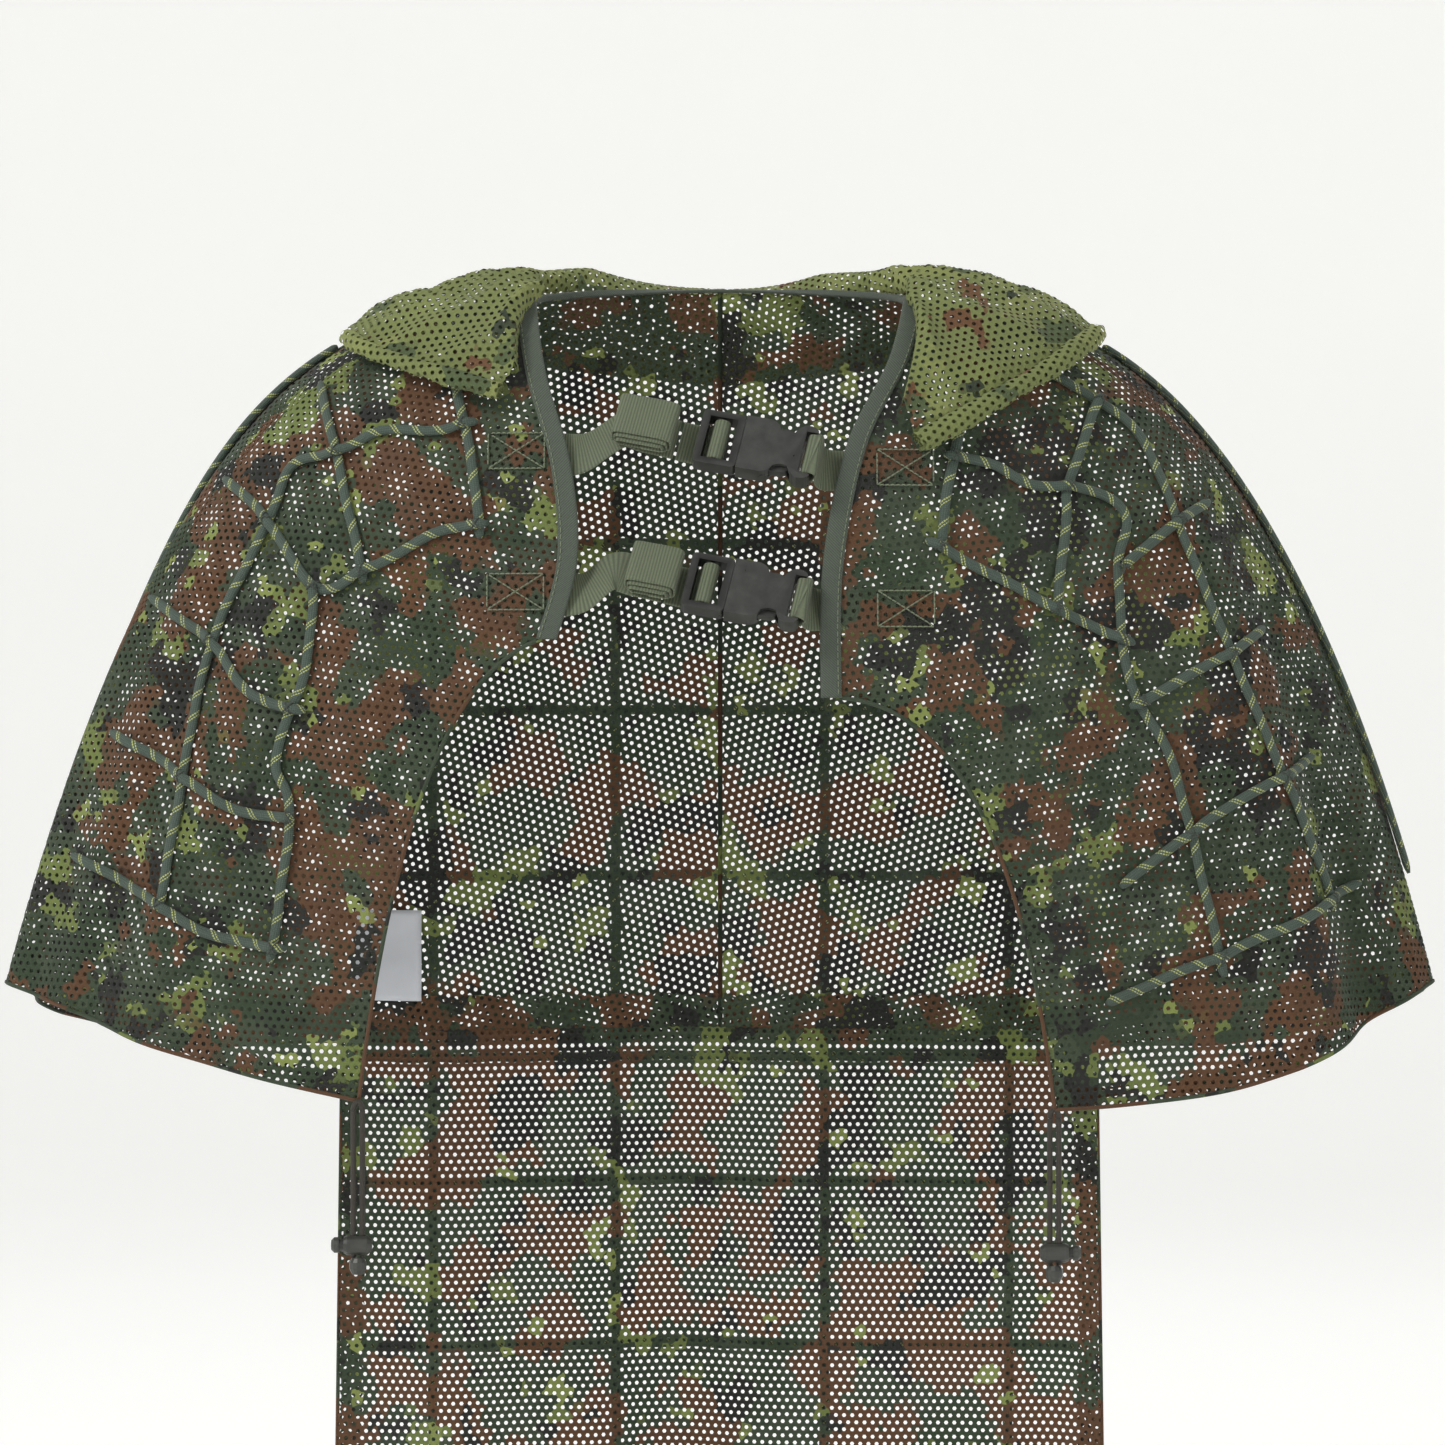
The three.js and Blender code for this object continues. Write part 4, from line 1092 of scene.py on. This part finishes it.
def binding(name, place, length, nodes):
    """Folded tape round a neck edge. place(t, inward) gives a level and angle."""
    t = np.linspace(0, 1, max(60, round(length / BINDING_STEP)))
    corner = np.linspace(0, 2 * math.pi, 18, endpoint=False)
    inward = (0.5 + 0.5 * boxed(np.cos(corner))) * BINDING_WIDTH
    height = boxed(np.sin(corner)) * BINDING_HALF_THICKNESS
    pucker = 1
    for share, pitch in BINDING_PUCKERS:
        pucker = pucker + share * np.sin(2 * math.pi * t * length / pitch)
    sections = np.stack([surface(*place(t, a), h * pucker) for a, h in zip(inward, height)], 1)
    across = np.concatenate([[0], np.cumsum(np.hypot(np.diff(inward), np.diff(height)))])
    soft_piece(loft(name, sections, TAPE, across), nodes)
    level, angle = place(np.linspace(0.004, 0.996, 400), BINDING_WIDTH * BINDING_SEAM)
    path = surface(level, angle, BINDING_HALF_THICKNESS + 0.0001)
    seam = stitch_row(f"{name}_stitches", path, drape_normal(level, angle), THREAD)
    soft_piece(seam, [])


def add_bindings():
    for side, front in FRONTS.items():
        def place(t, inward, front=front):
            level, turn = neck_edge(front, t, inward)
            return level, round_to(front["sign"], turn)
        binding(f"binding_{side}", place, 0.24, [f"neck_binding_{side}"])
    end = float(level_at_ridge_width(NECK_HALF_WIDTH + BINDING_WIDTH - NAPE_EASE))
    place = lambda t, inward: (inward / BINDING_WIDTH * end * np.ones_like(t), t * math.pi)
    binding("binding_back", place, 0.29, ["neck_binding_back"])


# ---- Cord nets ----

def cord_route(points, sign):
    """Levels and angles along one front cord, a short step apart."""
    route = even_path(np.array(points) * MM, 0.0022)
    level, turn = placed(route[:, 0], route[:, 1])
    return level, round_to(sign, turn)


def cord_net(name, routes, node):
    """Cords laid on the cape, each rising to pass over those laid before it, and tacked where they cross."""
    pieces, laid_paths = [], []
    for k, (level, angle) in enumerate(routes):
        base = surface(level, angle, CORD_LIFT)
        rise = np.zeros(len(base))
        tacks = []
        for other in laid_paths:
            nearest = np.linalg.norm(base[:, None] - other[None], axis=2).min(1)
            rise = np.maximum(rise, CROSSING_LIFT * np.exp(-(nearest / CROSSING_REACH)**2))
            spot = int(nearest.argmin())
            if nearest[spot] < TACK_REACH:
                tacks.append(spot)
        wander = 0.00035 * np.sin(np.arange(len(base)) * 0.31 + 1.7 * k)
        path = surface(level, angle, CORD_LIFT + rise)
        normal = drape_normal(level, angle)
        direction = tangents(path)
        path = path + np.cross(normal, direction) * wander[:, None]
        pieces.append(tube(f"{name}_{k}", path, normal, CORD_WIDTH, CORD_HEIGHT, CORD, 10))
        laid_paths.append(base)
        for spot in tacks:
            pieces.extend(tack(f"{name}_tack_{k}_{spot}", path[spot], direction[spot], normal[spot]))
    soft_piece(joined(name, pieces), [node])


def tack(name, centre, direction, normal):
    """Two crossed threads sewn over a cord."""
    pieces = []
    side = np.cross(normal, direction)
    turn = np.linspace(-0.15, math.pi + 0.15, 9)
    for k, lean in enumerate((0.0022, -0.0022)):
        arc = centre + np.outer(np.cos(turn), side) * (CORD_WIDTH / 2 + 0.0002)
        arc = arc + np.outer(np.sin(turn) * (CORD_HEIGHT / 2 + 0.0003), normal)
        arc = arc + np.outer(np.cos(turn) * lean, direction)
        pieces.append(tube(f"{name}_{k}", arc, normal, TACK_THICKNESS, TACK_THICKNESS, DARK_THREAD, 5, False))
    return pieces


def add_cord_nets():
    for side, front in FRONTS.items():
        sign = front["sign"]
        routes = [cord_route(points, sign) for points in FRONT_CORDS[side]]
        cord_net(f"front_cords_{side}", routes, f"cord_net_front_{side}")
        level = np.linspace(*RIDGE_CORD_LEVELS, 170)
        angle = round_to(sign, np.full(170, RIDGE_CORD_TURN))
        cord_net(f"ridge_cord_{side}_braid", [(level, angle)], f"ridge_cord_{side}")
    routes = []
    for x in BACK_CORD_COLUMNS:
        drop = np.linspace(BACK_COLUMN_TOP, BACK_COLUMN_END, 260)
        level, turn = placed(np.full(260, abs(x) * MM), drop)
        routes.append((level, round_to(x, turn, True)))
    for drop in BACK_CORD_ROWS:
        level = float(level_at_drop(drop * MM))
        ridge = float(ridge_at(level)[0])
        hanging = drop * MM >= HANGING_ROWS_FROM
        end = math.acos(HANGING_ROW_REACH / ridge) if hanging else SLEEVE_ROW_START
        angle = np.linspace(end, math.pi - end, 260)
        routes.append((np.full(260, level), angle))
    for sign in (-1, 1):
        level = SLEEVE_COLUMN_TOP + SLEEVE_COLUMN_REACH * np.linspace(0, 1, 120)
        routes.append((level, np.full(120, round_to(sign, SLEEVE_COLUMN_ANGLE, True))))
    cord_net("back_cords", routes, "cord_net_back")


# ---- Hood ----

def hood_station(u):
    """The hood's angle, near and far edges, height and creasing at a share of its length."""
    place = np.clip(u, 0, 1) * (len(HOOD_STATIONS) - 1)
    return np.moveaxis(resampled(HOOD_STATIONS, np.arange(len(HOOD_STATIONS)), place), -1, 0)


# The hood's section, from the neck seam up over the roll and under its far edge: how far it is from the near
# to the far edge, and the share of its height.
HOOD_SECTION = np.array([
    (0.00, -0.70), (-0.05, 0.10), (-0.02, 0.70), (0.12, 1.00), (0.32, 0.96), (0.52, 0.80),
    (0.70, 0.62), (0.86, 0.42), (0.98, 0.16), (0.99, -0.05), (0.86, -0.12),
])


def hood_shape(u, v):
    degrees, near, far, full, creased = hood_station(u)
    section = spline(HOOD_SECTION, v)
    across, share = section[..., 0], section[..., 1]
    low, high = level_at_ridge_width(near * MM), level_at_ridge_width(far * MM)
    level = np.clip(low + across * (high - low), 0.004, None)
    wander = 0.22 * np.sin(9.0 * u + 0.6) + 0.12 * np.sin(23.0 * u)
    humps = np.abs(np.sin(math.pi * (2.0 * across + wander)))**0.75
    loft_share = share * (1 - creased * 0.62 * (1 - humps) * smoothstep(0.02, 0.2, across))
    radial = 1 - 2 * np.abs(np.sin(math.pi * (17 * u + 0.35 * np.sin(5 * across + 3 * u))))
    ripple = np.sin(41 * u + 6 * across) + 0.6 * np.sin(67 * u - 9 * across)
    top = smoothstep(0.1, 0.6, share)
    height = HOOD_REST + full * MM * np.maximum(loft_share, -1)
    height = height + top * (0.0016 * radial + 0.0007 * ripple)
    height = np.where(share < 0, HOOD_REST * (1 + share) + 0.0006, height)
    seam = np.clip(v / 0.12, 0, 1)
    height = np.where(v < 0.12, HOOD_SEAM_HEIGHT + seam * (height - HOOD_SEAM_HEIGHT), height)
    return drape(level, np.radians(degrees)) + drape_normal(level, np.radians(degrees)) * height[..., None]


def hem_tube_shape(path, up, radius, turns):
    """Cloth rolled up round a path: v runs along the path, u round the roll."""
    path = np.asarray(path, float)
    direction = tangents(path)
    side = unit(np.cross(direction, np.broadcast_to(up, path.shape)))
    lift = unit(np.cross(side, direction))
    stations = np.linspace(0, 1, len(path))

    def shape(u, v):
        middle, out, up_here = (resampled(values, stations, v) for values in (path, side, lift))
        turn = u * turns * 2 * math.pi
        size = radius * (1 - 0.55 * u) * (1 + 0.08 * np.sin(9 * v + 1.0))
        spoke = out * np.cos(turn)[..., None] + up_here * np.sin(turn)[..., None]
        return middle + spoke * size[..., None]
    return shape


HOOD_HEM_HEIGHT = HOOD_REST + 0.0035
HOOD_HEM_TURNS = 1.7


def add_hood():
    piece, flat, area = net("hood_net", hood_shape, (110, 26), HOOD_CLOTH, 0.35)
    soft_piece(piece, ["hood"])

    for name, first, last, radius in (("left", 0.0, 0.22, 0.0066), ("right", 0.80, 1.0, 0.0056)):
        degrees, _, far, _, _ = hood_station(np.linspace(first, last, 40))
        level, angle = level_at_ridge_width(far * MM), np.radians(degrees)
        up = drape_normal(level, angle)
        path = drape(level, angle) + up * HOOD_HEM_HEIGHT
        roll, flat, area = net(f"hood_hem_roll_{name}", hem_tube_shape(path, up, radius, HOOD_HEM_TURNS),
                               (30, 40), HOOD_CLOTH, 0.2)
        soft_piece(roll, [])


# ---- Straps ----

def strap_axes():
    """The buckles' own axes: along the strap, up across it, and outward."""
    tilt, slope = STRAP_TILT, STRAP_SLOPE
    basis = np.array([(1, 0, 0),
                      (0, math.sin(tilt), math.cos(tilt)),
                      (0, -math.cos(tilt), math.sin(tilt))]).T
    turn = np.array([(math.cos(slope), math.sin(slope), 0),
                     (-math.sin(slope), math.cos(slope), 0),
                     (0, 0, 1)])
    return basis @ turn


AXES = strap_axes()


def local_to_world(strap, points):
    """Points given in millimetres in a buckle's own frame."""
    return np.array(strap["centre"]) * MM + (np.asarray(points, float) * MM) @ AXES.T


def webbing(name, path, across):
    """Ribbed webbing along an evenly stepped path, four steps to a rib. "across" is its width's direction."""
    path = np.asarray(path, float)
    direction = tangents(path)
    across = unit(np.broadcast_to(np.asarray(across, float), path.shape))
    normal = unit(np.cross(direction, across))
    across = unit(np.cross(normal, direction))
    rib = 0.5 + 0.5 * np.cos(np.arange(len(path)) * math.pi / 2)
    half = WEB_THICKNESS / 2 - RIB_DEPTH * (1 - rib)
    spread = np.array([-1, -0.985, -0.9, -0.3, 0.3, 0.9, 0.985, 1, 0.985, 0.9, 0.3, -0.3, -0.9, -0.985])
    depth = np.array([0, 0.75, 1, 0.94, 0.94, 1, 0.75, 0, -0.75, -1, -0.94, -0.94, -1, -0.75])
    sections = path[:, None] + across[:, None] * (spread * WEB_WIDTH / 2)[None, :, None]
    sections = sections + normal[:, None] * (depth[None, :] * half[:, None])[..., None]
    return loft(name, sections, WEBBING, np.abs(spread + 1) * WEB_WIDTH / 2)


def spiral_path(left, right, back, front, turns, layer):
    """A flattened spiral in a buckle's own frame, from the outside in, in millimetres."""
    turn = np.linspace(-0.5, turns * 2 * math.pi, 1200)
    inset = layer * (turn + 0.5) / (2 * math.pi)
    a, b = (right - left) / 2 - inset, (front - back) / 2 - inset
    x = (left + right) / 2 - a * boxed(np.cos(turn))
    z = (back + front) / 2 + b * boxed(np.sin(turn))
    points = np.stack([x, -inset, z], 1)
    along = arc_lengths(points)
    return resampled(points, along, np.arange(0, along[-1], RIB_PITCH / MM / 4))


def cloth_up(front, drop):
    """The direction up the cloth beside a front's bound edge."""
    ends = []
    for height in (drop + 0.005, drop - 0.005):
        level, turn = placed(NECK_HALF_WIDTH, height)
        ends.append(drape(level, round_to(front["sign"], turn)))
    return unit(ends[1] - ends[0])


def under_panel(sign, out, drop):
    """A place just inside a front, from how far out and how far down it is seen, in millimetres."""
    level, turn = placed(out * MM, drop * MM)
    return surface(level, round_to(sign, turn), -UNDER_PANEL)


def stitched_box(name, sign, out, drop):
    """A box with a cross in it, sewn through the panel and the strap end beneath it."""
    w, h = STITCHED_BOX[0] / 2, STITCHED_BOX[1] / 2
    corners = [(-w, -h), (w, -h), (w, h), (-w, h), (-w, -h), (w, h)]
    lines = list(zip(corners[:-1], corners[1:])) + [((-w, h), (w, -h))]
    pieces = []
    for k, (a, b) in enumerate(lines):
        share = np.linspace(0, 1, 24)[:, None]
        spots = np.array(a) + share * (np.array(b) - np.array(a))
        level, turn = placed(out * MM + spots[:, 0], drop * MM + spots[:, 1])
        angle = round_to(sign, turn)
        path = surface(level, angle, 0.0011)
        normal = drape_normal(level, angle)
        pieces.append(stitch_row(f"{name}_{k}", path, normal, THREAD, 0.0024, 0.0005, 0.0008))
    soft_piece(joined(name, pieces), [])


# Places in a buckle's own frame as [along the strap, outward], in millimetres: the webbing that passes under
# the buckle and over its adjuster bar, and the loop of webbing through the female end.
WRAP_SECTION = [(-33, -5.2), (-26, -6), (-19.5, -5.8), (-16.6, -2.5),
                (-15.4, 1.4), (-12, 3.1), (-8.6, 1.4), (-8.4, -2.6)]
ANCHOR_SECTION = [(41, -4), (38, -4), (34.9, -2.6), (34.9, 2.6), (38, 4), (41.5, 3)]


def add_straps():
    across_axis = AXES[:, 1]
    step = RIB_PITCH / 4
    for name, strap in STRAPS.items():
        male = f"{name}_male"
        left, right = strap["roll"]
        spiral = spiral_path(left + 0.8, right - 0.8, -0.2, 11.4, 2.75, 1.75)
        roll = webbing(f"{name}_rolled_webbing", local_to_world(strap, spiral + (0, 1.2, 0)), across_axis)
        soft_piece(roll, [f"{name}_strap_roll"], male)

        wrap = even_path([(x * MM, 0, z * MM) for x, z in WRAP_SECTION], step)
        wrapped = webbing(f"{name}_wrapped_webbing", local_to_world(strap, wrap / MM), across_axis)
        soft_piece(wrapped, [f"{name}_strap_wrap"], male)

        right_drop, left_drop = strap["drops"]
        local = lambda x, z: local_to_world(strap, (x, 0, z))
        base = [under_panel(-1, out, right_drop) for out in (124, 100, 74)]
        base += [local(-63, -3.4), local(-50, -3.4), local(-34.5, -4.8)]
        base = even_path(base, step)
        share = smoothstep(0.30, 0.58, np.linspace(0, 1, len(base)))[:, None]
        side = cloth_up(FRONTS["right"], right_drop * MM) * (1 - share) + across_axis * share
        piece = webbing(f"{name}_base_webbing", base, side)
        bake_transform(piece)
        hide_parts(f"{name}_strap_base")

        anchor = [local(x, z) for x, z in ANCHOR_SECTION]
        anchor += [under_panel(1, out, left_drop) for out in (strap["centre"][0] + 46, 88, 112)]
        anchor = even_path(anchor, step)
        share = smoothstep(0.5, 0.72, np.linspace(0, 1, len(anchor)))[:, None]
        side = cloth_up(FRONTS["left"], left_drop * MM) * share + across_axis * (1 - share)
        soft_piece(webbing(f"{name}_anchor_webbing", anchor, side), [f"{name}_strap_anchor"])
        stitched_box(f"{name}_stitched_box_right", -1, 108, right_drop)
        stitched_box(f"{name}_stitched_box_left", 1, 98, left_drop)


# ---- Moulded parts, label ----

def refine(node, material, bevel):
    """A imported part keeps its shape, with its edges rounded and a real material."""
    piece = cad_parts[node]
    piece.data.materials.clear()
    piece.data.materials.append(material)
    for polygon in piece.data.polygons:
        polygon.use_smooth = True
    planar = piece.modifiers.new("planar", "DECIMATE")
    planar.decimate_type = "DISSOLVE"
    planar.angle_limit = math.radians(1)
    rounded = piece.modifiers.new("rounded", "BEVEL")
    rounded.width = bevel
    rounded.segments = 3
    rounded.limit_method = "ANGLE"
    rounded.angle_limit = math.radians(32)
    rounded.harden_normals = True


LOCK_RISE = 0.0066               # the lock's axis above the strands' lower end
SPRING_TURNS = 3
SPRING_RADIUS = 0.0024
SPRING_WIRE = 0.0005
SPRING_ENDS = (-0.0059, -0.0043)     # at the lock's floor and at the plunger, from the lock's middle


def add_lock_spring(side, front):
    """The spring behind a plunger, which runs from the lock's floor to the plunger."""
    centre = shock_anchor(front) - (0, 0, SHOCK_TOP + SHOCK_LENGTH - LOCK_RISE)
    share = np.linspace(0, 1, SPRING_TURNS * 24 + 1)
    turn = 2 * math.pi * SPRING_TURNS * share
    floor_end, plunger_end = SPRING_ENDS
    along = front["sign"] * (floor_end + (plunger_end - floor_end) * share)
    helix = np.stack([along, SPRING_RADIUS * np.cos(turn), SPRING_RADIUS * np.sin(turn)], 1)
    spring = tube(f"lock_spring_wire_{side}", centre + helix, (1, 0, 0), SPRING_WIRE, SPRING_WIRE, STEEL, 8,
                  False)
    soft_piece(spring, [f"cord_lock_spring_{side}"], f"lock_{side}")
    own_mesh(spring)


def add_moulded_parts():
    for name in STRAPS:
        for part in ("buckle_male", "buckle_female", "prong_top", "prong_bottom"):
            refine(f"{name}_{part}", BUCKLE, 0.0008)
    for side, front in FRONTS.items():
        refine(f"cord_end_{side}", TOGGLE, 0.0006)
        refine(f"cord_lock_body_{side}", TOGGLE, 0.0004)
        refine(f"cord_lock_plunger_{side}", TOGGLE, 0.0004)
        add_lock_spring(side, front)


def add_label():
    """A blank folded label sewn inside the back, with its ends turned under."""
    out, drop, width, height = 0.190, 0.365, 0.036, 0.052

    def section(offset):
        u, v = np.meshgrid(np.linspace(-0.5, 0.5, 10), np.linspace(-0.5, 0.5, 16), indexing="ij")
        level, turn = placed(out + u * width, drop + v * height)
        curl = 0.0012 * np.cos(math.pi * u) + 0.0006 * np.sin(9 * v)
        return surface(level, round_to(-1, turn, True), offset - curl)
    front, back = section(-0.0024), section(-0.0030)
    rings = np.concatenate([front, back[:, ::-1]], axis=1)
    soft_piece(loft("blank_label", rings, LABEL), ["care_label"])


# ---- Assembly ----

add_camera()
add_shock_cords()
add_cord_nets()
add_fronts()
add_back()
add_bindings()
add_hood()
add_straps()
add_moulded_parts()
add_label()
add_studio()
